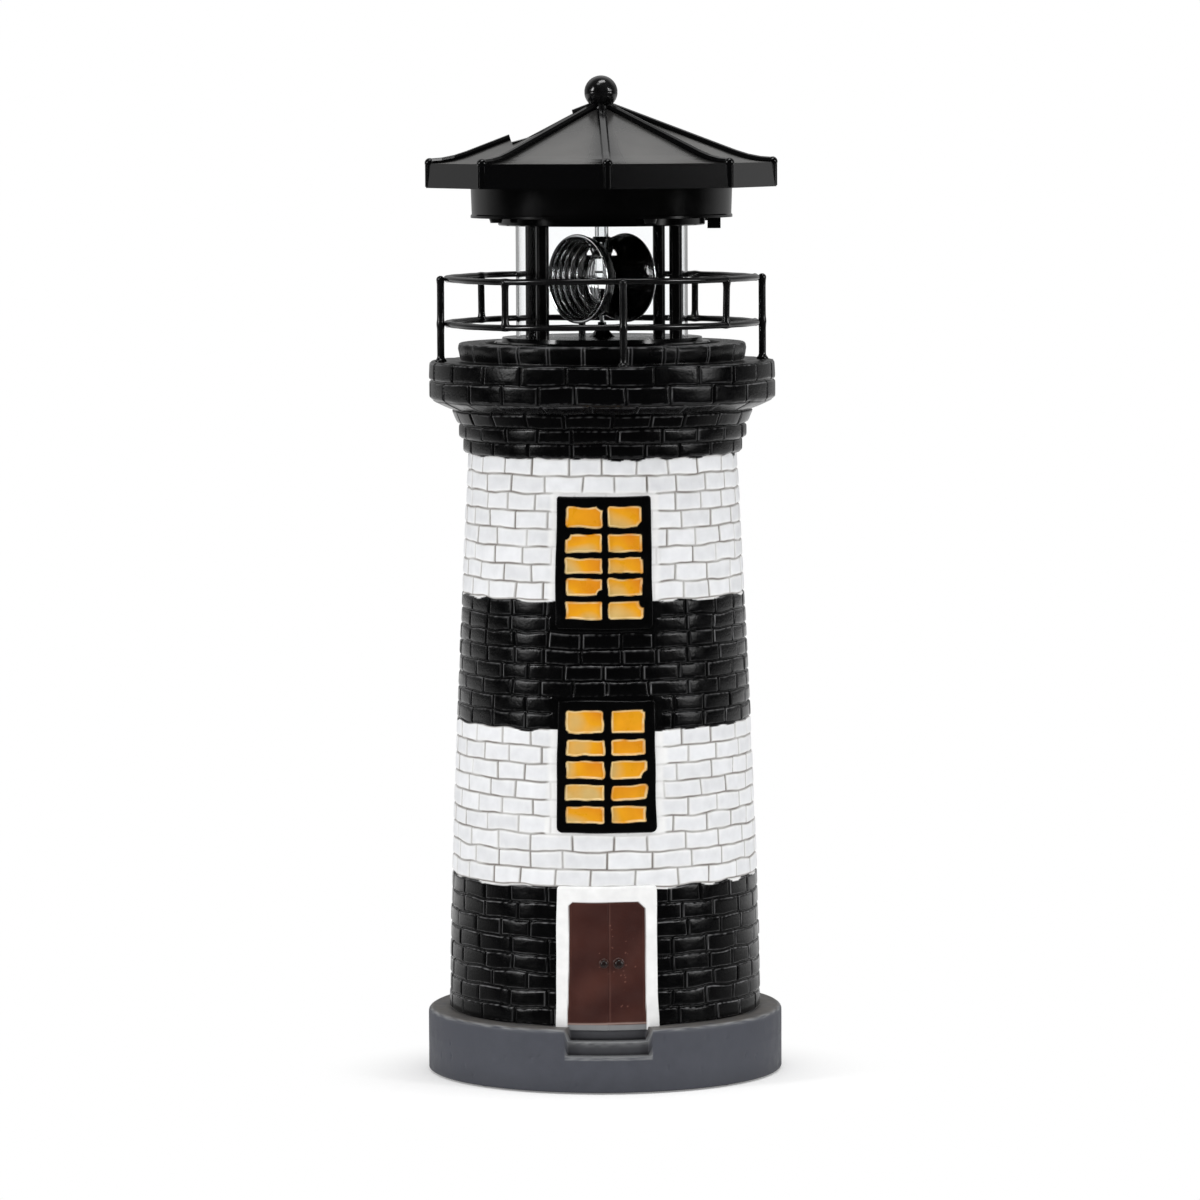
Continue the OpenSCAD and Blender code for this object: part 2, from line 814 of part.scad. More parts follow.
module roof() {
  color("#121212")
    difference() {
      union() {
        difference() {
          union() {
            difference() {
              union() {
                eight_sided(roof_half(0, eaves_z), 3 * roof_r);
                translate([0, 0, roof_top - 6])
                  cylinder(r = tip_r, h = 6 - 0.6);
                around(8, roof_turn)
                  translate([roof_r - bead_r * 0.45, 0, eaves_z + 0.4])
                    cylinder(r = bead_r, h = fascia_h - 0.4);
                around(8, roof_turn)
                  bar(rib_points, rib_r, 10);
                around(8, roof_turn)
                  translate([rib_end, 0, hip_z(rib_end) + rib_rise])
                    sphere(rib_r * 1.1);
              }
              eight_sided(roof_half(shell_t, eaves_z - lap), 3 * roof_r);
            }
            // Bosses and a ring that find the drum
            intersection() {
              union() {
                around(8, roof_turn + 22.5)
                  translate([roof_screw_at, 0, drum_z + shell_t + seat_gap])
                    cylinder(r = boss_r, h = roof_top);
                translate([0, 0, drum_z + drum_h - 1])
                  difference() {
                    cylinder(r = drum_r + slide_gap + shell_t, h = roof_top);
                    translate([0, 0, -lap])
                      cylinder(r = drum_r + slide_gap, h = roof_top + 3 * lap);
                  }
              }
              eight_sided(roof_half(shell_t / 2, drum_z), 3 * roof_r);
            }
            intersection() {
              on_panel()
                translate([0, 0, -panel_pocket - shell_t])
                  panel_shape(rim, panel_pocket + shell_t);
              cylinder(r = roof_r, h = roof_top + lap);
            }
          }
          on_panel()
            panel_shape(rim, 4 * ball_r);
        }
      }
      on_panel()
        translate([0, 0, -panel_pocket])
          panel_shape(seat_gap, panel_pocket + lap);
      on_panel()
        translate([-panel_len / 2, 0, -panel_pocket - shell_t - lap])
          cylinder(r = 2, h = shell_t + 2 * lap);
      around(8, roof_turn + 22.5)
        translate([roof_screw_at, 0, drum_z])
          cylinder(r = screw_r, h = shell_t + 9);
      translate([0, 0, roof_top - 9])
        cylinder(r = ball_stem_r, h = 12);
      translate([0, 0, ball_z])
        sphere(ball_r + seat_gap);
    }
}

ball_stem_r = 1.7;

module finial_ball() {
  color("#171717")
    translate([0, 0, ball_z]) {
      sphere(ball_r);
      translate([0, 0, -ball_rise - 5])
        cylinder(r = ball_stem_r, h = ball_rise + 1);
    }
}

module solar_panel() {
  color("#16213f")
    on_panel()
      translate([0, 0, -panel_pocket])
        panel_shape(0, panel_t);
}

module panel_cover() {
  color("#8fa6c4", 0.4)
    on_panel()
      translate([0, 0, -cover_t])
        panel_shape(0, cover_t);
}

module screw(r, l, head) {
  cylinder(r = r, h = l);
  translate([0, 0, -head])
    difference() {
      cylinder(r1 = r * 1.6, r2 = r * 2, h = head);
      translate([-r * 1.2, -r * 0.2, -lap])
        cube([r * 2.4, r * 0.4, lap + head / 2]);
      translate([-r * 0.2, -r * 1.2, -lap])
        cube([r * 0.4, r * 2.4, lap + head / 2]);
    }
}

module roof_screws() {
  color("#8b8d8f")
    around(4, roof_turn + 22.5)
      translate([roof_screw_at, 0, drum_z])
        screw(screw_r, roof_screw_l, roof_screw_head);
}

module lip_screws() {
  color("#8b8d8f")
    turned(lip_screw_turns)
      translate([lip_screw_at, 0, drum_z + shell_t])
        mirror([0, 0, 1])
          screw(small_screw_r, shell_t + 1.8, 0.9);
}

// ---- Drive ----

centre_gap = gear_module * (wheel_teeth + pinion_teeth) / 2;
upper_at = [centre_gap, 0];
lower_at = upper_at + centre_gap * [cos(120), sin(120)];
motor_at = lower_at + centre_gap * [-1, 0];
level_top = gear_top - gear_w;             // bottom of the output gear
level_mid = level_top - gear_level;
level_low = level_mid - gear_level;
addendum = 0.8 * gear_module;
dedendum = 1.15 * gear_module;
sleeve_r = 1.2;

function inv(a) = tan(a) * 180 / PI - a;
function half_tooth(n, r) =
  let (
    pitch = gear_module * n / 2,
    base = pitch * cos(20),
    side = acos(min(1, base / max(r, base)))
  )
  90 / n - backlash / 4 / pitch * 180 / PI + inv(20) - inv(side);

// One tooth after another: root, pitch line and tip on each side
function gear_outline(n) =
  let (
    pitch = gear_module * n / 2,
    rs = [pitch - dedendum, pitch - dedendum * 0.35, pitch, pitch + addendum]
  )
  [
    for (i = [0:n - 1])
      let (a = i * 360 / n) each [
        for (r = rs) r * [cos(a - half_tooth(n, r)), sin(a - half_tooth(n, r))],
        for (k = [3:-1:0]) rs[k] * [cos(a + half_tooth(n, rs[k])), sin(a + half_tooth(n, rs[k]))]
      ]
  ];

// Turn that puts a gear in mesh: n teeth here, m teeth on the gear at angle d that is turned by t
function mesh_turn(n, m, d, t) = d + 180 - (0.5 - (d - t) * m / 360) * 360 / n;

module gear(n, turn, w, bore) {
  rotate([0, 0, turn])
    linear_extrude(height = w)
      difference() {
        polygon(gear_outline(n));
        circle(bore);
      }
}

module sleeve(r, z1, z2, bore) {
  translate([0, 0, z1])
    difference() {
      cylinder(r = r, h = z2 - z1);
      translate([0, 0, -lap])
        cylinder(r = bore, h = z2 - z1 + 2 * lap);
    }
}

arbor_bore = arbor_r + running_gap;
plate_top = plate_z + plate_t;
axial_gap = 0.15;

module output_gear() {
  color("#e9e6da") {
    translate([0, 0, level_top])
      gear(wheel_teeth, 0, gear_w, shaft_r);
    sleeve(shaft_r * 2.6, gear_top, seat_z - axial_gap, shaft_r);
    sleeve(shaft_r * 2.6, level_top - 0.6, level_top, shaft_r);
  }
}

// The wheel and pinion of a compound gear are one moulding on its arbor
module compound(at, level, wheel_turn, pinion_turn) {
  translate([at[0], at[1], 0]) {
    translate([0, 0, level])
      gear(wheel_teeth, wheel_turn, gear_w, arbor_bore);
    translate([0, 0, level + gear_w])
      gear(pinion_teeth, pinion_turn, gear_level, arbor_bore);
    sleeve(sleeve_r, level + gear_w + gear_level, seat_z - axial_gap, arbor_bore);
    sleeve(sleeve_r, plate_top + axial_gap, level, arbor_bore);
  }
}

upper_pinion_turn = mesh_turn(pinion_teeth, wheel_teeth, 0, 0);
lower_pinion_turn = mesh_turn(pinion_teeth, wheel_teeth, 120, 0);
motor_pinion_turn = mesh_turn(pinion_teeth, wheel_teeth, 180, 0);

module compound_gear_upper() {
  color("#f0eee6")
    compound(upper_at, level_mid, 0, upper_pinion_turn);
}

module compound_gear_lower() {
  color("#f0eee6")
    compound(lower_at, level_low, 0, lower_pinion_turn);
}

motor_top = plate_z;
motor_shaft_r = 0.5;

module motor_pinion() {
  color("#b99a52")
    translate([motor_at[0], motor_at[1], 0]) {
      translate([0, 0, level_low - 0.2])
        gear(pinion_teeth, motor_pinion_turn, gear_w + 0.4, motor_shaft_r * 0.5);
      translate([0, 0, motor_top - 4])
        cylinder(r = motor_shaft_r, h = level_low + gear_w - motor_top + 4);
    }
}

module output_shaft() {
  color("#b8babb")
    translate([0, 0, plate_z + 0.3])
      cylinder(r = shaft_r, h = beacon_z - 4 - plate_z - 0.3);
}

module gear_arbors() {
  color("#b8babb")
    for (p = [upper_at, lower_at])
      translate([p[0], p[1], plate_z])
        cylinder(r = arbor_r, h = seat_z + 2 - plate_z);
}

module gear_plate() {
  color("#dcdad2")
    difference() {
      translate([0, 0, plate_z])
        cylinder(r = can_r - can_wall - 0.6, h = plate_t);
      translate([0, 0, plate_z - lap])
        cylinder(r = shaft_r + running_gap, h = plate_t + 2 * lap);
      for (p = [upper_at, lower_at])
        translate([p[0], p[1], plate_z - lap])
          cylinder(r = arbor_r, h = plate_t + 2 * lap);
      translate([motor_at[0], motor_at[1], plate_z - lap])
        cylinder(r = 3, h = plate_t + 2 * lap);
      for (a = [30, 150, 270])
        rotate([0, 0, a])
          translate([pillar_at, 0, plate_z - lap])
            cylinder(r = small_screw_r + seat_gap, h = plate_t + 2 * lap);
      rotate([0, 0, front + lead_turn])
        translate([drop_at - 2 * wire_r, -2 * wire_r - 0.3, plate_z - lap])
          cube([2 * can_wall + 4 * wire_r, 4 * wire_r + 0.6, plate_t + 2 * lap]);
    }
}

module plate_screws() {
  color("#8b8d8f")
    for (a = [30, 150, 270])
      rotate([0, 0, a])
        translate([pillar_at, 0, plate_z])
          screw(small_screw_r, plate_t + 5, 0.9);
}

can_z = seat_z - can_h;

module motor_can() {
  color("#1b1b1b")
    translate([0, 0, can_z])
      difference() {
        union() {
          cylinder(r1 = can_r - 1, r2 = can_r, h = 1);
          translate([0, 0, 1])
            cylinder(r = can_r, h = can_h - 1);
        }
        translate([0, 0, can_wall])
          cylinder(r = can_r - can_wall, h = can_h);
      }
}

module motor() {
  color("#a9abad")
    translate([motor_at[0], motor_at[1], motor_top - motor_h])
      difference() {
        union() {
          cylinder(r = motor_r, h = motor_h);
          translate([0, 0, motor_h])
            cylinder(r = 2.6, h = 1);
          translate([0, 0, -0.6])
            cylinder(r = motor_r * 0.7, h = 0.6);
        }
        translate([0, 0, motor_h - 4.3])
          cylinder(r = motor_shaft_r + running_gap, h = 6);
      }
}

// ---- Leads ----

lead_dir = [cos(front + lead_turn), sin(front + lead_turn)];
lead_side = [-lead_dir[1], lead_dir[0]];
motor_base = motor_top - motor_h - 0.6;

function flat(d, s, z) = [
  lead_dir[0] * d + lead_side[0] * s,
  lead_dir[1] * d + lead_side[1] * s,
  z
];

module motor_leads() {
  for (side = [-1, 1])
    color(side < 0 ? "#a8231d" : "#1a1a1a")
      bar([
        flat(lamp_post_at, side * wire_r * 1.15, drum_z + shell_t + 1.5),
        flat(lamp_post_at, side * wire_r * 1.15, seat_z + floor_t / 2 - 0.2),
        flat(lamp_post_at - 0.8, side * wire_r * 1.15, seat_z + wire_r + 0.2),
        flat(drop_at + 0.8, side * wire_r * 1.15, seat_z + wire_r + 0.2),
        flat(drop_at, side * wire_r * 1.15, seat_z - 1),
        flat(drop_at, side * wire_r * 1.15, motor_base - 0.3),
        [motor_at[0] + side * 2, motor_at[1] - 6, motor_base - wire_r - 0.6],
        [motor_at[0] + side * 2, motor_at[1] - 0.5, motor_base - wire_r - 0.1]
      ], wire_r);
}

// ---- Electrics in the housing ----

inside_z = drum_z + shell_t;
cradle_wall = 1.4;
cradle_l = cell_l + 2 * cradle_wall + 5.2;
cell_z = inside_z + cradle_wall + cell_r + seat_gap;

module battery_cradle() {
  color("#101010")
    translate([0, cell_y, inside_z])
      difference() {
        translate([-cradle_l / 2, -cell_r - cradle_wall, 0])
          cube([cradle_l, 2 * (cell_r + cradle_wall), cell_r + cradle_wall]);
        translate([-cradle_l / 2 + cradle_wall, 0, cell_z - inside_z])
          rotate([0, 90, 0])
            cylinder(r = cell_r + seat_gap, h = cradle_l - 2 * cradle_wall);
        translate([0, 0, cell_r + cradle_wall])
          cube([cradle_l - 4 * cradle_wall - 12, 3 * cell_r, cell_r], center = true);
      }
}

cell_x = -cell_l / 2 - 1.2;

module battery_cell() {
  color("#2f7a45")
    translate([cell_x, cell_y, cell_z])
      rotate([0, 90, 0]) {
        cylinder(r = cell_r, h = cell_l);
        translate([0, 0, -1])
          cylinder(r = cell_r * 0.38, h = 1);
      }
}

module battery_plate() {
  color("#c9c9c4")
    translate([-cradle_l / 2 + cradle_wall, cell_y - 3.5, cell_z - 3.5])
      cube([0.4, 7, 7]);
}

spring_turns = 3;
spring_from = cell_x + cell_l + 0.4;
spring_to = cradle_l / 2 - cradle_wall - 0.4;

module battery_spring() {
  color("#c9c9c4")
    bar([
      for (i = [0:spring_turns * 16])
        let (f = i / spring_turns / 16, a = i * 22.5, r = 2.2 + 2 * f)
          [spring_from + f * (spring_to - spring_from), cell_y + r * cos(a), cell_z + r * sin(a)]
    ], 0.3, 6, [1, 0, 0]);
}

board_t = 1.6;
board_z = inside_z + standoff_h;

module circuit_board() {
  color("#2c6b3a")
    difference() {
      translate([-board_l / 2, board_y - board_w / 2, board_z])
        cube([board_l, board_w, board_t]);
      for (side = [-1, 1])
        translate([side * board_hole_x, board_y, board_z - lap])
          cylinder(r = small_screw_r + seat_gap, h = board_t + 2 * lap);
    }
}

module board_parts() {
  color("#26282a")
    translate([0, board_y, board_z + board_t]) {
      translate([-9, -3, 0])
        cube([6, 5, 1.6]);
      translate([1, -4, 0])
        cube([4.5, 8, 3]);
      translate([-4, 6, 0])
        cylinder(r = 2, h = 5);
      translate([9, 5, 0])
        cylinder(r = 2, h = 5);
    }
}

module board_screws() {
  color("#8b8d8f")
    for (side = [-1, 1])
      translate([side * board_hole_x, board_y, board_z + board_t])
        mirror([0, 0, 1])
          screw(small_screw_r, board_t + 3, 0.8);
}

panel_dir = [cos(front + roof_turn + panel_corner * 45), sin(front + roof_turn + panel_corner * 45)];
panel_mid = (panel_in + panel_out) / 2;
panel_back_z = hip_z(panel_out) - panel_sink + panel_slope * (panel_out - panel_in) / 2 - panel_pocket - 0.1;
board_top = board_z + board_t + wire_r;

module panel_leads() {
  for (side = [-1, 1])
    color(side < 0 ? "#a8231d" : "#1a1a1a")
      bar([
        [panel_dir[0] * panel_mid, panel_dir[1] * panel_mid + side * 0.8, panel_back_z - 0.6],
        [panel_dir[0] * panel_mid, panel_dir[1] * panel_mid + side * 0.8, panel_back_z - 6],
        [-board_l / 2 - 1, board_y + 4 + side * 1.2, board_top + 6],
        [-board_l / 2 + 1.6, board_y + 4 + side * 1.2, board_top + 1],
        [-board_l / 2 + 3.2, board_y + 4 + side * 1.2, board_top]
      ], wire_r, 8, [0.1, 0.95, 0.2]);
}

module battery_leads() {
  for (side = [-1, 1])
    color(side < 0 ? "#a8231d" : "#1a1a1a")
      bar([
        [side * (cradle_l / 2 - cradle_wall - 0.3), cell_y - cell_r - 0.2, cell_z + 1.6],
        [side * (cradle_l / 2 - cradle_wall - 2), cell_y - cell_r - 3, cell_z + 1.6],
        [side * 14, board_y + board_w / 2 + 5, board_top + 3],
        [side * 12, board_y + board_w / 2 - 1, board_top + 0.8],
        [side * 12, board_y + board_w / 2 - 2.6, board_top]
      ], wire_r);
}

switch_body_l = slot_l + 2.4;
switch_body_w = slot_w + 2;
switch_body_h = 4.6;

module switch_body() {
  color("#b4b6b8")
    translate([switch_at, 0, inside_z])
      difference() {
        translate([-switch_body_w / 2, -switch_body_l / 2, 0])
          cube([switch_body_w, switch_body_l, switch_body_h]);
        translate([-slot_w / 2, -slot_l / 2, -lap])
          cube([slot_w, slot_l, switch_body_h - 1.2 + lap]);
      }
}

switch_drop = 4.1;

module switch_slider() {
  color("#0e0e0e")
    translate([switch_at - switch_w / 2, -switch_travel / 2 - switch_l / 2, drum_z - switch_drop])
      difference() {
        cube([switch_w, switch_l, switch_drop + shell_t + switch_body_h - 1.2 - slide_gap]);
        for (i = [0.25, 0.5, 0.75])
          translate([-lap, i * switch_l - 0.2, -lap])
            cube([switch_w + 2 * lap, 0.4, lap + 0.3]);
      }
}

module switch_leads() {
  for (side = [-1, 1])
    color(side < 0 ? "#a8231d" : "#1a1a1a")
      bar([
        [switch_at - 1, side * 2, inside_z + switch_body_h + wire_r],
        [switch_at - 8, side * 2 - 3, inside_z + switch_body_h + 3],
        [board_l / 2 + 3, board_y + 5 + side * 1.2, board_top + 3],
        [board_l / 2 - 1.6, board_y + 5 + side * 1.2, board_top + 0.6],
        [board_l / 2 - 3.2, board_y + 5 + side * 1.2, board_top]
      ], wire_r);
}

led_z = beacon_z - 0.6;
led_h = 7.6;
led_collar_r = led_r + 1;

module led() {
  color("#f4f4f0") {
    translate([0, 0, led_z + led_r])
      cylinder(r = led_r, h = led_h - led_r);
    translate([0, 0, led_z + led_r])
      sphere(led_r);
  }
}

module led_tube() {
  color("#e3eaee", 0.4)
    difference() {
      union() {
        translate([0, 0, led_z + led_h])
          cylinder(r = led_r, h = inside_z + 1.6 - led_z - led_h);
        translate([0, 0, inside_z])
          cylinder(r = led_collar_r, h = 1.6);
      }
      translate([0, 0, led_z + led_h - lap])
        cylinder(r = led_r - led_wall, h = inside_z + 2 * lap + 1.6 - led_z - led_h);
    }
}

module led_leads() {
  color("#c0c2c4")
    for (side = [-1, 1])
      bar([
        [side * 1.27, 0, led_z + led_h],
        [side * 1.27, 0, inside_z + 2.6],
        [side * 2, board_y + board_w / 2 + 3, board_top + 2],
        [side * 2, board_y + board_w / 2 - 1.6, board_top - wire_r / 2]
      ], wire_r / 2);
}

// ---- Beacon ----

// Radius of a reflector at a distance from the axis: a bowl that starts at the neck
bell_root = (bell_in * bell_r * bell_r - bell_out * bell_neck_r * bell_neck_r)
  / (bell_r * bell_r - bell_neck_r * bell_neck_r);
function bell_at(u) = bell_r * sqrt((u - bell_root) / (bell_out - bell_root));
neck_end = led_r + 0.6;

// Distance from the axis at which the bowl has a radius
function bell_u(r) = bell_root + (bell_out - bell_root) * pow(r / bell_r, 2);

// Steps on the inside, and a smooth bowl outside
bell_step = (bell_r - bell_neck_r) / bell_steps;
function bell_inside() = [
  for (i = [bell_steps - 1:-1:0])
    let (r = bell_neck_r + i * bell_step)
      each [[r - bell_wall / 2, bell_u(r + bell_step)], [r - bell_wall / 2, bell_u(r)]]
];

function bell_outside() = [
  for (i = [0:6])
    let (u = bell_in + (bell_out - 0.8 - bell_in) * pow(i / 6, 1.7)) [bell_at(u), u],
  [bell_r + 0.35, bell_out - 0.8],
  [bell_r + 0.35, bell_out]
];

module bell(side) {
  translate([0, 0, beacon_z])
    rotate([0, 0, front + bell_turn + (side < 0 ? 180 : 0)])
      rotate([0, 90, 0])
        rotate_extrude()
          polygon([
            [bell_neck_r - bell_wall, neck_end],
            [bell_neck_r, neck_end],
            each bell_outside(),
            each bell_inside()
          ]);
}

module reflector_front() {
  color("#c9cdd0")
    bell(1);
}

module reflector_rear() {
  color("#c9cdd0")
    bell(-1);
}

hub_half = bell_in - 0.1;
cradle_drop = 8;

module reflector_hub() {
  color("#eceae4")
    translate([0, 0, beacon_z])
      rotate([0, 0, front + bell_turn])
        difference() {
          union() {
            difference() {
              translate([-hub_half, -bell_neck_r * 0.68, -cradle_drop])
                cube([2 * hub_half, bell_neck_r * 1.36, cradle_drop - 3.6]);
              rotate([0, 90, 0])
                cylinder(r = bell_neck_r, h = 4 * hub_half, center = true);
            }
            translate([0, 0, -cradle_drop - 3])
              cylinder(r1 = 1.6, r2 = 2.4, h = 3);
            translate([0, 0, -cradle_drop])
              cylinder(r = 2.2, h = cradle_drop - 2.4);
          }
          translate([0, 0, -cradle_drop - 3 - lap])
            cylinder(r = shaft_r, h = cradle_drop + 3 + lap - 4);
        }
}

tower_casting();
foot_pads();
railing_top_ring();
railing_lower_ring();
railing_posts();
railing_balusters();
floor_disc();
lamp_posts();
clear_tube();
housing_lip();
housing_drum();
roof();
finial_ball();
solar_panel();
panel_cover();
roof_screws();
lip_screws();
motor_can();
gear_plate();
plate_screws();
gear_arbors();
motor();
motor_leads();
battery_cradle();
battery_cell();
battery_plate();
battery_spring();
circuit_board();
board_parts();
board_screws();
panel_leads();
battery_leads();
switch_body();
switch_leads();
switch_slider();
led();
led_tube();
led_leads();
reflector_front();
reflector_rear();
reflector_hub();
output_shaft();
output_gear();
compound_gear_upper();
compound_gear_lower();
motor_pinion();
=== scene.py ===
# Garden lighthouse ornament: the finishes and fine shapes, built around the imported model.
# Sizes are given in mm and come out in metres, in the model's own frame: +Z up, the door faces -Y.
import math

import bpy
import numpy as np
from mathutils import Matrix, Vector


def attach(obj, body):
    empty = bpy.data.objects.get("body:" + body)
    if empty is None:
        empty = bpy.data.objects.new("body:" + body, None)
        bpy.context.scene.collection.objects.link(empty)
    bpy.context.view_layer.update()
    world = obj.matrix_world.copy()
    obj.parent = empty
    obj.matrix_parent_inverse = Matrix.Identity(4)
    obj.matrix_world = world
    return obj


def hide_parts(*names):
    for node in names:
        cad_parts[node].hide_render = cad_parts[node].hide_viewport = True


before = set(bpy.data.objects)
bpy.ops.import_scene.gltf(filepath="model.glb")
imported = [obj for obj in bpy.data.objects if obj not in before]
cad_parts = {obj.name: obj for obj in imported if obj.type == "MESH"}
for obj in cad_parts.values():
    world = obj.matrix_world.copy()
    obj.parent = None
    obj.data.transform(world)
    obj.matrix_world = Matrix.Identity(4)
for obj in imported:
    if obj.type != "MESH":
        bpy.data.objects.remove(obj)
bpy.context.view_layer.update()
mm = 0.001


# ---- Stage ----
# The camera stands about two metres in front and looks slightly down on the ornament.
# It takes in the ornament from the ball to the shadow under the base.
def put_in(name, data):
    """An object with this data, linked into the scene."""
    made = bpy.data.objects.new(name, data)
    bpy.context.scene.collection.objects.link(made)
    return made


camera_data = bpy.data.cameras.new("camera")
camera_data.lens = 180
camera_data.sensor_width = 36
camera_data.clip_start = 0.05
camera_data.clip_end = 30
camera = put_in("camera", camera_data)
camera_down = math.atan(485 / 6000)
camera_roll = math.radians(-0.27)
camera.matrix_world = (
    Matrix.Translation((-0.0012, -2.1666, 0.3457))
    @ Matrix.Rotation(math.pi / 2 - camera_down, 4, "X")
    @ Matrix.Rotation(camera_roll, 4, "Z")
)
bpy.context.scene.camera = camera
bpy.context.scene.view_settings.view_transform = "Standard"


def node_maker(tree):
    """Returns a short way to add nodes to a tree, with their settings and their inputs.

    An input is a value, another node's output, or the node itself for its first output.
    """

    def add(kind, inputs=(), **settings):
        made = tree.nodes.new("ShaderNode" + kind)
        for key, value in settings.items():
            setattr(made, key, value)
        for key, value in dict(inputs).items():
            if isinstance(value, bpy.types.Node):
                value = value.outputs[0]
            if isinstance(value, bpy.types.NodeSocket):
                tree.links.new(value, made.inputs[key])
            else:
                made.inputs[key].default_value = value
        return made

    return add


def new_material(name):
    """An empty material and the way to add its nodes."""
    made = bpy.data.materials.new(name)
    made.use_nodes = True
    made.node_tree.nodes.clear()
    return made, node_maker(made.node_tree)


# The world is plain white to the camera and through clear plastic. Gloss sees a white wall
# behind the ornament and a dim studio with three small windows in front of it.
world = bpy.data.worlds.new("studio")
bpy.context.scene.world = world
world.use_nodes = True
world.node_tree.nodes.clear()
add = node_maker(world.node_tree)
way = add("TexCoord")
split = add("SeparateXYZ", {0: way.outputs["Generated"]})
behind = add("MapRange", {0: split.outputs["Y"], 1: 0.10, 2: 0.60, 3: 0.015, 4: 0.9})
height = add("MapRange", {0: split.outputs["Z"], 1: 0.30, 2: 0.62, 3: 0.38, 4: 1.0})
behind = add("Math", {0: behind, 1: height}, operation="MULTIPLY")
above = add("MapRange", {0: split.outputs["Z"], 1: 0.55, 2: 0.95, 3: 0.0, 4: 0.07})
room = add("Math", {0: behind, 1: above}, operation="MAXIMUM")
for direction, size, strength in (((0.93, -0.33, 0.14), 11, 6.0), ((-0.91, -0.38, 0.16), 10, 6.0),
                                  ((-0.25, -0.45, 0.857), 10, 3.5)):
    toward = add("VectorMath", {0: way.outputs["Generated"], 1: direction}, operation="DOT_PRODUCT")
    window = add("MapRange", {0: toward.outputs["Value"], 1: math.cos(math.radians(size)),
                                        2: math.cos(math.radians(size - 3)), 3: 0.0, 4: strength})
    room = add("Math", {0: room, 1: window}, operation="MAXIMUM")
rays = add("LightPath")
straight = add("Math", {0: rays.outputs["Glossy Depth"], 1: 0.5}, operation="LESS_THAN")
through = add("Math", {0: rays.outputs["Is Transmission Ray"], 1: straight}, operation="MULTIPLY")
seen = add("Math", {0: rays.outputs["Is Camera Ray"], 1: through}, operation="MAXIMUM")
reflected = add("Math", {0: rays.outputs["Is Glossy Ray"], 1: rays.outputs["Is Transmission Ray"]},
                operation="MAXIMUM")
plain_level = 0.62
lit = add("Mix", {0: reflected, 2: plain_level, 3: room})
level = add("Mix", {0: seen, 2: lit, 3: 1.0})
back = add("Background", {"Color": (1, 1, 1, 1), "Strength": level})
add("OutputWorld", {"Surface": back})

# The floor is a white sweep that shows only the ornament's soft shadow and turns into the
# white of the background a few centimetres away from it.
floor_reach = 3.0
floor_mesh = bpy.data.meshes.new("floor")
floor_mesh.from_pydata(
    [(-floor_reach, -floor_reach, 0), (floor_reach, -floor_reach, 0),
     (floor_reach, floor_reach, 0), (-floor_reach, floor_reach, 0)],
    [], [(0, 1, 2, 3)],
)
floor = put_in("floor", floor_mesh)
floor_white, add = new_material("floor white")
matt = add("BsdfDiffuse", {"Color": (0.82, 0.82, 0.82, 1)})
glow = add("Emission", {"Color": (1, 1, 1, 1), "Strength": 0.22})
near = add("AddShader", {0: matt, 1: glow})
white = add("Emission", {"Color": (1, 1, 1, 1), "Strength": 1.0})
place = add("TexCoord")
away = add("VectorMath", {0: place.outputs["Object"]}, operation="LENGTH")
from_shadow = add("VectorMath", {0: place.outputs["Object"], 1: (0, 0.03, 0)})
reach = add("VectorMath", {0: from_shadow}, operation="LENGTH")
fade = add("MapRange", {0: reach.outputs["Value"], 1: 0.060, 2: 0.112, 3: 0.0, 4: 1.0},
           interpolation_type="SMOOTHSTEP")
rays = add("LightPath")
to_white = add("Math", {0: fade, 1: rays.outputs["Is Camera Ray"]}, operation="MULTIPLY")
seen = add("MixShader", {0: to_white, 1: near, 2: white})
dim = add("Emission", {"Color": (1, 1, 1, 1), "Strength": 0.04})
axes = add("SeparateXYZ", {0: place.outputs["Object"]})
front = add("MapRange", {0: axes.outputs["Y"], 1: -0.1, 2: 0.5, 3: 1.0, 4: 0.0})
beyond = add("MapRange", {0: away.outputs["Value"], 1: 0.08, 2: 0.20, 3: 0.35, 4: 1.0})
dark = add("Math", {0: front, 1: beyond}, operation="MULTIPLY")
in_gloss = add("Math", {0: dark, 1: rays.outputs["Is Glossy Ray"]}, operation="MULTIPLY")
both = add("MixShader", {0: in_gloss, 1: seen, 2: dim})
add("OutputMaterial", {"Surface": both})
floor_mesh.materials.append(floor_white)


def softbox(name, place, aim, size, watts):
    """A rectangular area lamp at a place, aimed at a point."""
    data = bpy.data.lights.new(name, "AREA")
    data.shape = "RECTANGLE"
    data.size, data.size_y = size
    data.energy = watts
    lamp = put_in(name, data)
    lamp.location = place
    lamp.rotation_mode = "QUATERNION"
    lamp.rotation_quaternion = (Vector(aim) - Vector(place)).to_track_quat("-Z", "Y")


tower_middle = (0, 0, 0.18)
softbox("softbox_left", (-1.55, -0.85, 0.9), tower_middle, (0.30, 0.62), 8.5)
softbox("softbox_right", (1.45, -0.95, 0.8), tower_middle, (0.26, 0.58), 6)
softbox("softbox_top", (0.1, -0.2, 1.5), tower_middle, (0.70, 0.35), 7)


# ---- Tower casting ----
# One hollow casting of stone resin: base with steps, brick courses, corbels and gallery.
# Its bricks are cut in running bond, every joint a little off true, and it is painted by hand.
around_count = 1008
rng = np.random.default_rng(11)
turn = np.linspace(0, 2 * math.pi, around_count, endpoint=False)


def ripple(strength, lowest, highest, angles=turn):
    """A smooth random wave round the axis, made of whole waves."""
    waves = np.arange(lowest, highest + 1)
    size = rng.normal(0, 1, len(waves)) / np.sqrt(len(waves))
    phase = rng.uniform(0, 2 * math.pi, len(waves))
    return strength * (size[:, None] * np.sin(waves[:, None] * angles[None, :] + phase[:, None])).sum(0)


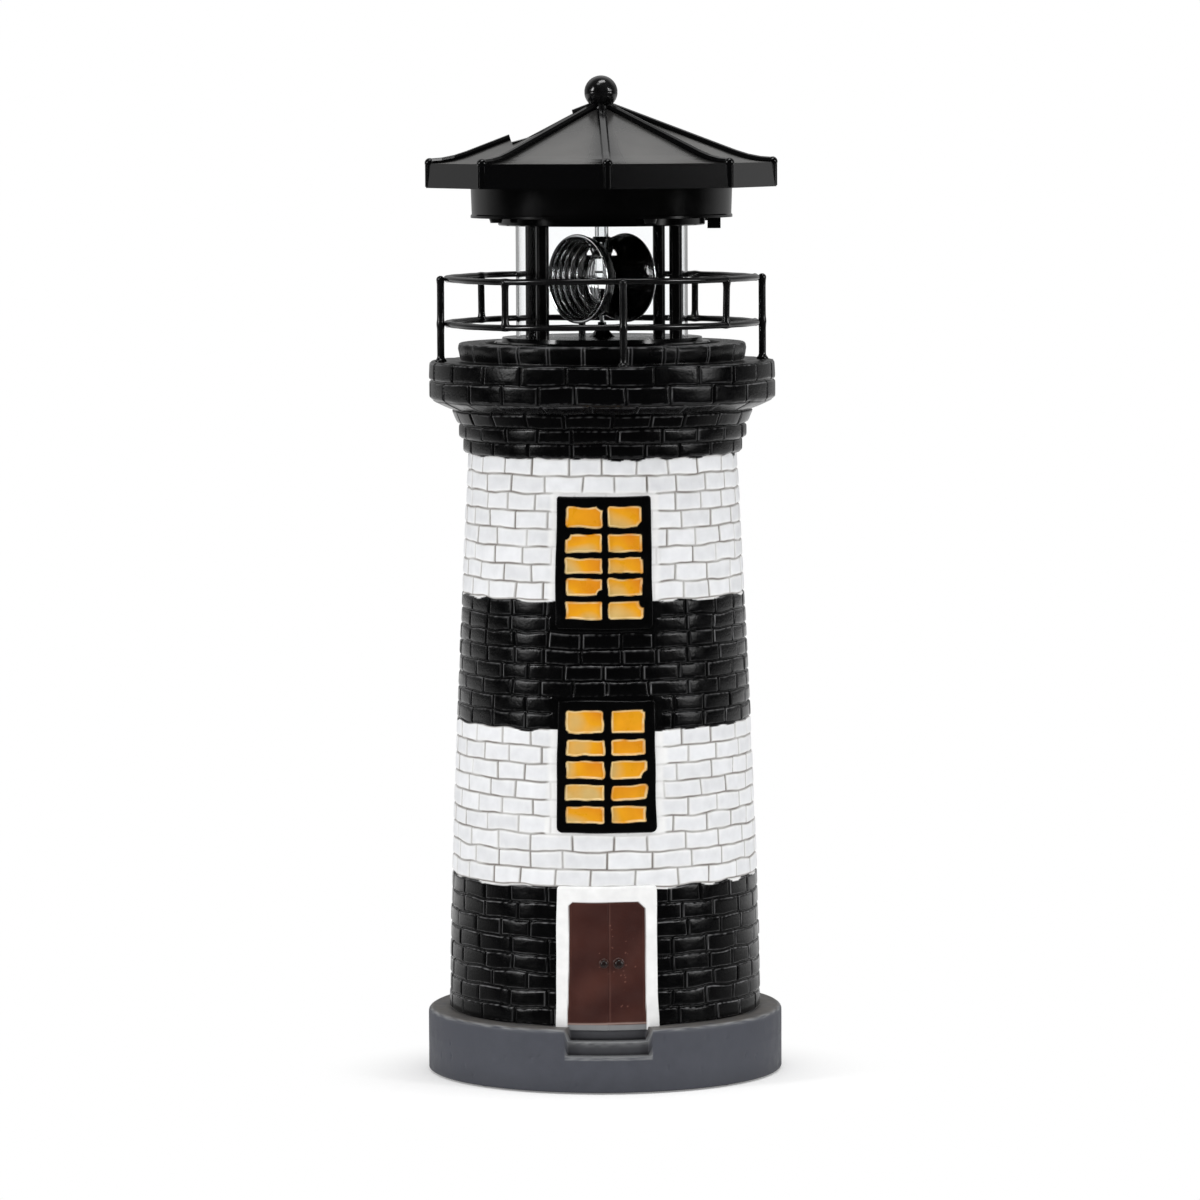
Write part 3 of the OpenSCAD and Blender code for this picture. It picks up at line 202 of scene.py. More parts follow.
def wrapped(angle):
    """The same angle, brought between minus and plus half a turn."""
    return np.angle(np.exp(1j * angle))


def smooth_step(x, low, high):
    t = np.clip((x - low) / (high - low), 0, 1)
    return t * t * (3 - 2 * t)


def mix(a, b, t):
    return a + (b - a) * t[..., None]


base_r = 64.3          # radii and heights in mm
side_r = 64.15         # the base's side, a little in from its top edge
step_low, step_high = 13.4, 18.2
foot_r = 56.3
neck_r = 48.3
base_top = 23.0
neck_z = 224.7
corbel = [(50.3, 50.3), (51.7, 51.7), (52.2, 54.4)]    # radii at the bottom and top of each course
corbel_h = 5.13
flare_top = 243.8
gallery_r = 62.3
gallery_h = 6.85
deck_z = 257.5
recess_r = 41.9
seat_z = 262.0
socket_r = 24.0
shaft_r = 52           # about halfway up, for widths round the shaft
door_middle = 0.75     # degrees to the right of straight ahead


def tower_radius(z):
    """Radius of the shaft at a height, before the bricks' relief."""
    return foot_r - (foot_r - neck_r) * np.clip((z - base_top) / (neck_z - base_top), 0, 1) ** 1.4


# Angle from straight ahead in degrees, growing to the right
ahead = np.degrees(wrapped(turn + math.pi / 2))

paint = {
    "black": (0.0014, 0.0014, 0.0016),
    # Light lines painted on black: painted highlights on the bricks' edges and on the gallery's kerb and deck.
    "black edge highlight": (0.20, 0.20, 0.205),
    "white": (0.82, 0.83, 0.85),
    # A brighter white: thick paint round the windows and the door's surround, and the painted highlight on the
    # white bricks' edges.
    "bright white and edge highlight": (0.93, 0.93, 0.925),
    "mortar": (0.20, 0.175, 0.155),
    "grey": (0.072, 0.076, 0.092),
    "grey pale": (0.23, 0.235, 0.24),
    "grey dust": (0.125, 0.117, 0.108),
    "resin": (0.62, 0.60, 0.57),
}
paint = {key: np.array(value) for key, value in paint.items()}


class Course:
    """One row of bricks: its lower and upper edge, its radii, and where its upright joints are."""

    def __init__(self, low, high, r_low, r_high, colour, bricks, row):
        self.low, self.high, self.r_low, self.r_high, self.colour = low, high, r_low, r_high, colour
        widths = rng.uniform(0.84, 1.16, bricks)
        edges = np.cumsum(widths) / widths.sum() * 2 * math.pi
        shift = (row % 2) * math.pi / bricks + rng.uniform(-0.2, 0.2) * 2 * math.pi / bricks
        self.joints = np.sort((edges + shift) % (2 * math.pi))
        radius = (r_low + r_high) / 2
        gap = wrapped(turn[:, None] - self.joints) * radius
        near = np.abs(gap).argmin(1)
        self.slant = rng.normal(0, 0.045, bricks)[near]
        self.gap = gap[np.arange(around_count), near]
        self.brick = np.searchsorted(self.joints, turn) % bricks
        self.out = rng.normal(0, 0.10, bricks)[self.brick]
        self.tilt = rng.normal(0, 0.10, bricks)[self.brick]
        self.lean = rng.normal(0, 0.05, bricks)[self.brick]
        self.shade = rng.uniform(0, 1, bricks)[self.brick]
        self.highlight_strength = rng.uniform(0, 1, bricks)[self.brick]
        middle = self.joints + np.diff(np.append(self.joints, self.joints[0] + 2 * math.pi)) / 2
        self.along = wrapped(turn - np.roll(middle, 1)[self.brick]) * radius / 7.0


courses = []
for count, low, high, colour in ((8, base_top, 72.8, "black"), (9, 72.8, 128.7, "white"),
                                 (8, 128.7, 174.3, "black"), (8, 174.3, neck_z, "white")):
    for i in range(count):
        z = low + (high - low) * np.array((i, i + 1)) / count
        courses.append(Course(*z, *tower_radius(z), colour, 24, len(courses)))
shaft_courses = len(courses)
for i, radii in enumerate(corbel):
    z = neck_z + i * corbel_h
    courses.append(Course(z, z + corbel_h, *radii, "black", 22, len(courses)))
courses.append(Course(neck_z + 3 * corbel_h, flare_top, corbel[2][1], gallery_r, "black", 23, len(courses)))
for i in range(2):
    z = flare_top + i * gallery_h
    courses.append(Course(z, z + gallery_h, gallery_r, gallery_r - 0.3 * i, "black", 25, len(courses)))

rings = []        # one entry a ring: radius, height, colour and gloss of each column


def ring(radius, height, colour, gloss=0.5):
    """Adds a ring to the casting's skin."""
    whole = np.ones(around_count)
    tint = np.array(colour, float)
    if tint.ndim == 1:
        tint = tint[None, :] * whole[:, None]
    rings.append((radius * whole, height * whole, tint, gloss * whole))


# Base: the side, the rounded top edge and the top, with two steps cut in at the front
step_half, steps_middle = 15.75, 1.0        # half width in mm, and degrees from straight ahead
notch = smooth_step(np.abs(ahead - steps_middle) * math.pi / 180 * base_r, step_half + 0.25, step_half - 0.25)


def base_point(s):
    """Where a ring of the base is, by the way along its section in mm: (radius, height)."""
    side, rounding = 9.6, 1.8
    if s <= side - rounding:
        return base_r, step_low + s
    if s <= side + rounding:
        a = (s - side + rounding) / (2 * rounding) * math.pi / 2
        return base_r - rounding * (1 - math.cos(a)), base_top - rounding * (1 - math.sin(a))
    return base_r - rounding - (s - side - rounding), base_top


def notch_point(s):
    """The same way along the section where the steps are cut."""
    if s <= 4:
        return base_r - s, step_low
    if s <= 8.8:
        return 60.3, 9.4 + s
    if s <= 12.8:
        return 69.1 - s, step_high
    return foot_r, 5.4 + s


dents = np.zeros((around_count, 40))
dent_z = np.linspace(1, 22, 40)
for _ in range(70):
    middle, level, width = rng.uniform(-180, 180), rng.uniform(2, 20), rng.uniform(0.4, 0.9)
    reach = ((wrapped(np.radians(ahead - middle)) * base_r)[:, None] ** 2
             + (dent_z[None, :] - level) ** 2) / width ** 2
    dents += rng.choice((-0.45, -0.3, 0.13)) * np.exp(-reach)
base_waves = [0.10 * ripple(1, 2, 14) for _ in range(3)]
for z in np.r_[0.6, 0.7, 1.0, np.arange(1.8, 11.9, 0.75), 12.0, 12.35, 12.6, 12.9, 13.2, 13.3]:
    dent = dents[:, min(39, int((z - 1) / 21 * 39.9))] if z > 1.5 else 0 * turn
    # Painted shade: the base's side darkens towards the floor, and its lowest rings are painted darker still
    # as a shadow line under it.
    low_shade = 0.80 + 0.20 * smooth_step(np.full(around_count, z), 0.8, 9)
    tint = paint["grey"] * 0.3
    if z > 0.9:
        tint = paint["grey"] * low_shade[:, None] * (1 + 0.5 * np.clip(dent, 0, 1))[:, None]
    if z > 12.2:
        tint = mix(tint, paint["grey pale"], notch * 0.8 * np.clip(0.7 + 0.4 * ripple(1, 20, 90), 0, 1))
    inset = 0.5 if z < 0.65 else 0.2 if z < 0.9 else 0
    ring(side_r - inset + base_waves[0] * 0.6 + dent, z, tint, 0.48)
section = [0, 0.3, 1.0, 2, 3, 3.7, 4, 4.3, 5.2, 6.5, 7.5, 8.2, 8.5, 8.8, 9.1, 9.6, 10.2, 10.8, 11.3,
           12, 12.5, 12.8, 13.1, 14, 15.2, 16.4, 17.4]
for s in section:
    r_plain, z_plain = base_point(s)
    r_cut, z_cut = notch_point(s)
    r = r_plain * (1 - notch) + r_cut * notch
    z = z_plain * (1 - notch) + z_cut * notch
    flat = float(9.9 < s)
    rim = math.exp(-((s - 9.8) / 0.9) ** 2)
    nosing = notch * max(math.exp(-((s - a) / 0.95) ** 2) for a in (0.2, 8.4))
    nosing = nosing * np.clip(0.8 + 0.35 * ripple(1, 20, 90), 0, 1)
    # Painted shade on the steps: their inner corners are painted darkest and their risers darker.
    corner = notch * max(math.exp(-((s - a) / 0.75) ** 2) for a in (4.1, 12.9))
    tread = notch * float(s < 4.1 or 8.7 < s < 12.9)
    dusty = np.clip(flat * (1 - notch) * (0.85 + 0.25 * ripple(1, 5, 40)) + notch * 0.25, 0, 1)
    tint = mix(paint["grey"], paint["grey dust"], dusty)
    # Paler marks: the worn top edge and step nosings, and painted light on the treads.
    worn = rim * (1 - notch) * (0.6 + 0.5 * ripple(1, 8, 60)) + nosing + 0.6 * tread
    tint = mix(tint, paint["grey pale"], np.clip(worn, 0, 1))
    tint = tint * (1 - 0.65 * corner - 0.25 * notch * float(4.3 < s < 8.3 or s > 13))[:, None]
    # Painted shade: the base's top darkens where the tower rises from it.
    tint = tint * (1 - 0.4 * (1 - notch) * smooth_step(np.full(around_count, s), 15.6, 17.4))[:, None]
    dent = dents[:, min(39, int((z_plain - 1) / 21 * 39.9))] * (1 - notch) * (s < 9)
    ring(r - 0.15 + 0.1 * base_waves[1] + base_waves[0] * 0.6 * (1 - notch) + dent,
         z + 0.4 * base_waves[2] * flat * (1 - notch), tint, 0.42)

# Bricks: eleven rings a course, from the joint below to the joint above. Round the windows
# the white paint lies thick and hides the joints. The frames are laid on later.
ring_share = [0.0, 0.05, 0.10, 0.155, 0.23, 0.40, 0.60, 0.77, 0.845, 0.90, 0.95]
edge_waves = [0.26 * ripple(1, 3, 22) + 0.05 * ripple(1, 24, 60) for _ in range(len(courses) + 1)]
edge_waves[0] *= 0
edge_waves[-1] *= 0.3
brush = [0.6 * ripple(1, 4, 30) for _ in range(len(courses) + 1)]
breaks = [ripple(1, 40, 150) for _ in range(5)]
window_spans = ((91.9, 139.2, 0.9), (164.0, 211.3, 0.25))     # sill, head, middle in degrees
for n, c in enumerate(courses):
    white = c.colour == "white"
    tall = c.high - c.low
    on_tower = n < shaft_courses
    joint, depth = (0.46, 0.50) if white else (0.66, 0.66)
    z_low = c.low + edge_waves[n] * (1.0 if on_tower else 0.7)
    z_high = c.high + edge_waves[n + 1] * (1.0 if on_tower else 0.7)
    for share in ring_share:
        bed = min(share, 1 - share) * tall
        z = z_low + (z_high - z_low) * share + c.lean * c.along * min(1.0, bed / 0.8)
        to_joint = np.abs(c.gap - c.slant * (share - 0.5) * tall)
        pressed = smooth_step(np.full(around_count, bed), joint, 0.06)
        pressed = np.maximum(pressed, smooth_step(to_joint, joint, 0.12))
        pillow = 0.16 * np.clip(np.minimum(bed, to_joint) / 1.4, 0, 1)
        relief = (c.out * 0.8 + c.tilt * c.along * 0.6 + pillow) * (1 - pressed) - depth * pressed
        smear = np.zeros(around_count)
        if on_tower:
            for sill, head, middle in window_spans:
                side = np.abs(ahead - middle) * math.pi / 180 * shaft_r - 17.6 - 2.6 - 1.2 * brush[n]
                over = np.maximum(sill - z.mean() - 0.8, z.mean() - head - 1.2)
                smear = np.maximum(smear, smooth_step(np.maximum(side, over), 1.4, -0.6))
        relief = relief * (1 - smear) + 0.1 * smear
        if on_tower:
            # The resin is let in behind the frames and the door, which are laid on below
            for sill, head, half in ((93.5, 137.7, 16.4), (165.6, 209.8, 16.4), (24.0, 71.5, 15.8)):
                if sill < z.mean() < head:
                    side = np.abs(ahead - door_middle) * math.pi / 180 * shaft_r
                    relief = relief - 1.4 * smooth_step(side, half + 0.5, half)
        radius = c.r_low + (c.r_high - c.r_low) * share + relief
        if white:
            line = smooth_step(np.minimum(bed + 0.02, to_joint), joint + 0.18, 0.12)
            fading = np.clip(0.80 + 0.42 * brush[n], 0.15, 1) * (1 - 0.75 * smear)
            # Painted highlight: the white bricks are painted brighter along their edges.
            edge_highlight_white = np.exp(-(np.minimum(bed, to_joint) / 0.95) ** 2)
            face = mix(paint["white"] * (0.92 + 0.12 * c.shade)[:, None], paint["bright white and edge highlight"], edge_highlight_white)
            face = mix(face, paint["bright white and edge highlight"], smear)
            tint = mix(face, paint["mortar"], line * fading)
            gloss = 0.55
        else:
            # Painted highlight: thin light lines along the black bricks' edges, stronger on their upper edges
            # and on one side of each joint.
            upper = 1.0 if share > 0.5 else 0.30
            bed_line = upper * np.exp(-((bed - joint - 0.02) / 0.14) ** 2) * (to_joint > joint)
            own_side = np.where(c.gap > 0, 1.0, 0.35)
            up_line = own_side * np.exp(-((to_joint - joint - 0.06) / 0.15) ** 2) * (bed > joint)
            edge_highlight_black = np.maximum(bed_line, up_line)
            highlight_strength = np.clip(0.15 + 0.55 * brush[n] + 0.35 * breaks[n % 5] + 0.45 * c.highlight_strength, 0.03, 1)
            highlight_strength = highlight_strength * (1.0 if on_tower else 0.65)
            tint = mix(paint["black"], paint["black edge highlight"], edge_highlight_black * highlight_strength * (1 - smear))
            gloss = 0.92
        # Where two bands meet the upper one's paint runs a little past the joint
        if on_tower and n + 1 < len(courses) and courses[n + 1].colour != c.colour:
            past = smooth_step(0.30 + brush[n + 1] * 0.9 - (1 - share) * tall, -0.12, 0.12)
            above = paint["bright white and edge highlight"] if courses[n + 1].colour == "white" else paint["black"]
            tint = mix(tint, above, past)
        if n == shaft_courses - 1:
            tint = mix(tint, paint["black"], smooth_step(0.2 + brush[n] - (1 - share) * tall, -0.1, 0.1))
        ring(radius, z, tint, gloss)

# Gallery deck, kerb with its own bricks, seat of the lamp unit, socket and the hollow inside
black = paint["black"]
kerb_joints = (np.arange(26) + rng.uniform(-0.3, 0.3, 26)) * 2 * math.pi / 26
kerb_gap = np.abs(wrapped(turn[:, None] - kerb_joints)).min(1) * 52
kerb_joint = smooth_step(kerb_gap, 0.55, 0.1)
# Painted highlights: light lines beside the kerb's joints and along its top edge.
kerb_edge_highlight = np.exp(-((kerb_gap - 0.62) / 0.16) ** 2) * 0.6
for r in (61.9, 61.2, 59.6, 57.6, 55.4, 53.4, 52.2, 51.4):
    # Painted highlight along the deck's outer edge.
    pale = 0.5 * float(r > 61.5) * np.clip(0.5 + ripple(1, 6, 60), 0, 1)
    ring(r + 0.10 * ripple(1, 3, 20), deck_z + 0.10 * ripple(1, 5, 50) - 0.2 * float(r > 61.5),
         mix(black, paint["black edge highlight"], pale), 0.75)
for r, z in ((51.0, 257.7), (51.3, 258.3), (51.7, 260.0), (52.0, 262.0), (51.9, 263.3), (51.6, 263.8),
             (51.0, 264.05), (50.4, 264.1)):
    pale = np.clip(kerb_edge_highlight + float(z > 263.7) * np.clip(0.35 + 0.5 * ripple(1, 6, 60), 0, 0.8), 0, 1)
    ring(r + 0.14 * ripple(1, 3, 30) - 0.45 * kerb_joint, z, mix(black, paint["black edge highlight"], pale), 0.75)
for r in (49.0, 46.5, 44.5, 42.9):
    ring(r, 264.05 + 0.07 * ripple(1, 5, 40) - 0.1, black, 0.75)
for r, z in ((42.2, 263.9), (recess_r, 263.5), (recess_r, seat_z + 0.2), (41.7, seat_z), (34, seat_z),
             (socket_r, seat_z), (socket_r, 247.6)):
    ring(r, z, black, 0.5)
for r, z in ((socket_r, 247.5), (43.3, 247.5), (43.3, 224.7), (45.9, 170), (48.4, 120), (50.3, 70),
             (51.3, 23), (51.3, 0.65)):
    ring(r, z, paint["resin"], 0.2)
ring(51.4, 0.6, paint["resin"], 0.2)
ring(57.0, 0.6, paint["grey"], 0.3)


def painted_mesh(name, points, quads, tint, gloss):
    """An object from points in mm and quads, with its hand-painted colour, painted highlights and shade
    included, and gloss on its points.
    """
    mesh = bpy.data.meshes.new(name)
    mesh.vertices.add(len(points))
    mesh.vertices.foreach_set("co", (points * mm).ravel())
    mesh.loops.add(quads.size)
    mesh.loops.foreach_set("vertex_index", quads.ravel())
    mesh.polygons.add(len(quads))
    mesh.polygons.foreach_set("loop_start", np.arange(0, quads.size, 4))
    mesh.polygons.foreach_set("use_smooth", np.ones(len(quads), bool))
    mesh.update(calc_edges=True)
    strokes = mesh.attributes.new("paint", "FLOAT_COLOR", "POINT")
    rgba = np.concatenate([tint, np.ones((len(points), 1))], 1)
    strokes.data.foreach_set("color", rgba.astype(np.float32).ravel())
    shine = mesh.attributes.new("shine", "FLOAT", "POINT")
    shine.data.foreach_set("value", gloss.astype(np.float32).ravel())
    return put_in(name, mesh)


def grid_quads(rows, columns, wrap_rows):
    """The quads of a grid whose columns go round and, if asked, whose last row joins the first."""
    at = np.arange(rows if wrap_rows else rows - 1)[:, None] * columns + np.arange(columns)[None, :]
    right = np.roll(at, -1, 1)
    up = (at + columns) % (rows * columns)
    return np.stack([at, right, (right + columns) % (rows * columns), up], -1).reshape(-1, 4)


r, z, tint, gloss = (np.array([row[i] for row in rings]) for i in range(4))
points = np.stack([r * np.cos(turn), r * np.sin(turn), z], -1).reshape(-1, 3)
casting = painted_mesh("painted_tower", points, grid_quads(len(rings), around_count, True),
                       tint.reshape(-1, 3), gloss.ravel())


def noise(add, scale, detail):
    """A noise texture that stays in its place on the piece."""
    place = add("TexCoord")
    return add("TexNoise", {"Vector": place.outputs["Object"], "Scale": scale, "Detail": detail})


def blend(add, part, low, high):
    """A colour between two colours."""
    return add("Mix", {0: part, 6: (*low, 1), 7: (*high, 1)}, data_type="RGBA").outputs[2]


def end_material(add, inputs):
    """Ends a material with one plain shader that has these inputs."""
    surface = add("BsdfPrincipled", inputs)
    add("OutputMaterial", {"Surface": surface})


# Hand paint on resin: the colour of each stroke, painted highlights and shade included, slightly uneven, over
# a fine cast skin
hand_paint, add = new_material("hand paint")
stroke = add("Attribute", attribute_name="paint")
shine = add("Attribute", attribute_name="shine")
patchy = noise(add, 220.0, 4.0)
uneven = add("MapRange", {0: patchy, 1: 0.3, 2: 0.7, 3: 0.94, 4: 1.04})
tone = add("Mix", {0: 1.0, 6: stroke.outputs["Color"], 7: uneven},
           data_type="RGBA", blend_type="MULTIPLY").outputs[2]
dull = add("MapRange", {0: shine.outputs["Fac"], 1: 0.0, 2: 1.0, 3: 0.75, 4: 0.14})
smear = add("MapRange", {0: patchy, 1: 0.3, 2: 0.7, 3: -0.06, 4: 0.08})
rough = add("Math", {0: dull, 1: smear}, operation="ADD")
cast_skin = noise(add, 1100.0, 3.0)
bump = add("Bump", {"Strength": 0.25, "Distance": 0.0002, "Height": cast_skin})
end_material(add, {"Base Color": tone, "Roughness": rough, "Normal": bump, "Specular IOR Level": 0.22})
casting.data.materials.append(hand_paint)
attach(casting, "tower")
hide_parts("tower_casting")


# ---- Windows and door ----
# Two windows and a double door stand out of the bricks as part of the casting. Their frames and
# bars are thick black paint round amber panes, and the door is brown in a white surround.
def box_distance(x, y, half_w, half_h, corner):
    """Distance outside a rounded rectangle: negative inside."""
    dx = np.abs(x) - (half_w - corner)
    dy = np.abs(y) - (half_h - corner)
    outside = np.sqrt(np.maximum(dx, 0) ** 2 + np.maximum(dy, 0) ** 2)
    return outside + np.minimum(np.maximum(dx, dy), 0) - corner


def wobble(x, y, seed, strength, scale):
    """A small smooth random field, in mm: a brush that doesn't keep to the line."""
    local = np.random.default_rng(seed)
    total = np.zeros_like(x)
    for _ in range(7):
        a, b = local.normal(0, 1 / scale, 2)
        total += np.sin(a * x + b * y + local.uniform(0, 6.28))
    return strength * total / 2.6


panel_r = 53           # the radius at which a relief is laid out flat


def pressed_panel(name, low, high, left, right, dress):
    """A relief that stands on the bricks: `dress` gives its lift, colour and gloss at each point."""
    step = 0.26
    z = np.linspace(low, high, int((high - low) / step))
    angle = np.linspace(left, right, int(math.radians(right - left) * panel_r / step))
    x, y = np.meshgrid(np.radians(angle) * panel_r, z)
    lift, tint, gloss = dress(x, y)
    radius = tower_radius(y) + lift
    radius[0] = radius[-1] = radius[:, 0] = radius[:, -1] = 46
    azimuth = np.radians(angle)[None, :] - math.pi / 2
    outer = np.stack([radius * np.cos(azimuth), radius * np.sin(azimuth), y], -1)
    rows, columns = outer.shape[:2]
    inner = outer.copy()
    scale = (45.8 / np.hypot(outer[..., 0], outer[..., 1]))[..., None]
    inner[..., :2] *= scale
    points = np.concatenate([outer.reshape(-1, 3), inner.reshape(-1, 3)])
    at = np.arange(rows - 1)[:, None] * columns + np.arange(columns - 1)[None, :]
    face = np.stack([at, at + 1, at + 1 + columns, at + columns], -1).reshape(-1, 4)
    loop = np.r_[np.arange(columns - 1), np.arange(rows - 1) * columns + columns - 1,
                 (rows - 1) * columns + np.arange(columns - 1, 0, -1), np.arange(rows - 1, 0, -1) * columns]
    after = np.roll(loop, -1)
    total = rows * columns
    side = np.stack([after, loop, loop + total, after + total], -1)
    quads = np.concatenate([face, face[:, ::-1] + total, side])
    made = painted_mesh(name, points, quads, np.tile(tint.reshape(-1, 3), (2, 1)), np.tile(gloss.ravel(), 2))
    made.data.materials.append(hand_paint)
    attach(made, "tower")
    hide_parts("tower_casting")


amber = np.array((0.83, 0.36, 0.004))
deep_orange = np.array((0.76, 0.25, 0.004))
straw = np.array((0.66, 0.46, 0.17))
cream = np.array((0.88, 0.68, 0.34))


def window_dress(sill, head, frame_sides, pane_edges, bars, pane_rows, seed):
    """How one window stands out and is painted: frame, panes from the top down, and bars."""
    middle = (frame_sides[0] + frame_sides[1]) / 2 * math.pi / 180 * panel_r
    half = (frame_sides[1] - frame_sides[0]) / 2 * math.pi / 180 * panel_r

    def dress(x, y):
        shift = (sill + head) / 2
        low_corner = np.where(y < shift, 2.2, 1.0)
        out = box_distance(x - middle, y - shift, half, (head - sill) / 2, low_corner)
        out = out + wobble(x, y, seed, 0.16, 4.5)
        lift = -2.6 + 3.95 * smooth_step(out, 0.75, -0.5) + wobble(x, y, seed + 1, 0.10, 2.2)
        tint = np.broadcast_to(paint["black"], x.shape + (3,)).copy()
        gloss = np.full(x.shape, 0.93)
        for c, (left, right) in enumerate(pane_edges):
            top = head - 3.7
            for r, tall in enumerate(pane_rows):
                mine = seed + 20 + c * 10 + r
                pick = np.random.default_rng(mine)
                x0 = np.radians(left) * panel_r + pick.uniform(-0.2, 0.2)
                x1 = np.radians(right) * panel_r + pick.uniform(-0.3, 0.3)
                px, py = x - (x0 + x1) / 2, y - (top - tall / 2)
                edge = box_distance(px, py, (x1 - x0) / 2, tall / 2, pick.uniform(0.3, 1.1))
                edge = edge + wobble(px, py, mine + 500, 0.20, 1.9)
                blot = np.hypot(px - (x1 - x0) / 2 * (1 if c else pick.choice((-1, 1))),
                                (py + pick.choice((-0.55, 0.5)) * tall) * 0.8)
                bitten = pick.choice((0.0, 0.6, 1.7), p=(0.4, 0.3, 0.3))
                edge = np.maximum(edge, bitten - blot + wobble(px, py, mine + 77, 0.3, 0.9))
                glass = smooth_step(edge, 0.13, -0.13)
                lift = lift - 0.95 * smooth_step(edge, 0.25, -0.55)
                warm = 0.55 + 0.5 * px / (x1 - x0) + 0.35 * py / tall + wobble(px, py, mine + 900, 0.35, 4.5)
                pale = np.clip(0.5 - warm, 0, 1)
                pane = mix(amber, deep_orange, np.clip(warm - 0.55, 0, 1) * 1.3)
                pane = mix(pane, straw, np.clip(pale * 1.8, 0, 0.95))
                rim = smooth_step(edge, -0.78, -0.42)
                rim = rim * np.clip(0.75 + wobble(px, py, mine + 40, 0.5, 1.5), 0, 1)
                pane = mix(pane, cream, 0.85 * rim)
                tint = mix(tint, pane, glass)
                gloss = gloss * (1 - glass) + 0.72 * glass
                top -= tall + bars[min(r, len(bars) - 1)]
        return lift, tint, gloss

    return dress


pressed_panel("low_window", 90.4, 140.8, -19.6, 21.4, window_dress(
    91.9, 139.2, (-18.1, 19.9), ((-14.2, -0.1), (2.8, 15.7)), (2.4, 2.2, 2.4, 2.4),
    (7.9, 5.4, 6.1, 5.2, 5.6), 210))
pressed_panel("high_window", 162.5, 212.9, -20.9, 21.4, window_dress(
    164.0, 211.3, (-19.4, 19.9), ((-14.9, -0.6), (1.9, 15.6)), (2.6, 2.1, 1.9, 2.2),
    (7.2, 6.2, 5.4, 6.0, 6.1), 310))


def door_dress(x, y):
    """The white surround, the two leaves with the line between them, and the flat of each knob."""
    spread = 0.35 * smooth_step(y, 34, 24)
    middle = math.radians(door_middle) * panel_r
    across, seam_x = x - middle, math.radians(1.3) * panel_r
    out = box_distance(across, y - 46.0, 17.3 + spread, 27.2, 1.2) + wobble(x, y, 71, 0.14, 5)
    lift = -2.6 + 3.9 * smooth_step(out, 0.75, -0.5) + wobble(x, y, 75, 0.07, 3)
    tint = np.broadcast_to(paint["bright white and edge highlight"], x.shape + (3,)).copy()
    tint = tint * (0.97 + wobble(x, y, 76, 0.03, 6))[..., None]
    tint = mix(tint, paint["black"], smooth_step(out, 0.25, 0.55))
    low, top, half = 21, 67.6, 12.9
    leaf = box_distance(across, y - (low + top) / 2, half + spread, (top - low) / 2, 1.0)
    leaf = leaf + wobble(x, y, 72, 0.10, 7)
    leaf = np.maximum(leaf, ((across - half) + (y - top) + 2.3) * 0.7)
    leaf = np.maximum(leaf, (-(across + half) + (y - top) + 1.3) * 0.7)
    inside = smooth_step(leaf, 0.14, -0.14)
    lift = lift - 0.9 * smooth_step(leaf, 0.25, -0.35)
    seam = np.exp(-((x - seam_x - wobble(x * 0, y, 77, 0.10, 6)) / 0.26) ** 2) * inside
    lift = lift - 0.35 * seam + 0.10 * wobble(x, y, 78, 1, 1.6) * inside
    wear = np.clip(0.30 + wobble(x, y, 73, 0.30, 4.5) + 0.45 * (leaf > -0.9), 0, 1)
    brown = mix(np.array((0.047, 0.0150, 0.0120)), np.array((0.080, 0.027, 0.020)), wear)
    brown = mix(brown, np.array((0.110, 0.046, 0.036)), np.exp(-((x - seam_x - 0.42) / 0.2) ** 2) * 0.8)
    local = np.random.default_rng(79)
    for _ in range(26):
        sx, sy = local.normal(4.5, 3.5), local.normal(45, 8)
        spot = np.exp(-((x - sx) ** 2 + (y - sy) ** 2) / local.uniform(0.010, 0.035))
        brown = mix(brown, np.array((0.30, 0.13, 0.10)), np.clip(spot, 0, 0.55) * (leaf < -0.5))
    sill = np.exp(-((y - 24.2 - wobble(x, y, 74, 0.15, 3)) / 0.28) ** 2)
    brown = mix(brown, np.array((0.42, 0.30, 0.26)), sill * 0.8)
    brown = mix(brown, paint["grey pale"], smooth_step(y, 24.0, 23.6))
    tint = mix(tint, brown, inside)
    gloss = 0.55 + 0.12 * inside
    return lift, tint, gloss


pressed_panel("double_door", 21.6, 74.6, -19.4, 21.0, door_dress)


# ---- Door knobs ----
# Two buttons with a ringed foot, cast on the leaves and touched up with a small brush. Both are brown paint:
# the near-black button is painted shade, and the brown foot ring a painted highlight.
# The right one is a little larger.
knob_z = 45.75
knob_section = [(0.0, -1.0), (1.75, -1.0), (1.75, 0.05), (1.62, 0.28), (1.30, 0.34), (1.18, 0.22),
                (1.05, 0.55), (1.0, 0.9), (1.28, 1.15), (1.34, 1.5), (1.1, 1.85), (0.6, 2.02), (0.25, 2.05)]


def smooth_mesh(name, points, faces, sharp_from=180):
    """A smooth mesh from points in mm, creased where its faces meet at more than an angle."""
    mesh = bpy.data.meshes.new(name)
    mesh.from_pydata((np.array(points) * mm).tolist(), [], faces)
    mesh.polygons.foreach_set("use_smooth", np.ones(len(mesh.polygons), bool))
    if sharp_from < 180:
        mesh.set_sharp_from_angle(angle=math.radians(sharp_from))
    return mesh


def turned_piece(name, section, count=48):
    """A solid of revolution round its own Z, in mm, closed at both ends."""
    angles = np.linspace(0, 2 * math.pi, count, endpoint=False)
    section = [(max(r, 1e-3), z) for r, z in section]
    points = [(r * math.cos(a), r * math.sin(a), z) for r, z in section for a in angles]
    faces = grid_quads(len(section), count, False).tolist()
    faces.append(tuple(range(count))[::-1])
    faces.append(tuple(range((len(section) - 1) * count, len(section) * count)))
    return put_in(name, smooth_mesh(name, points, faces, 50))


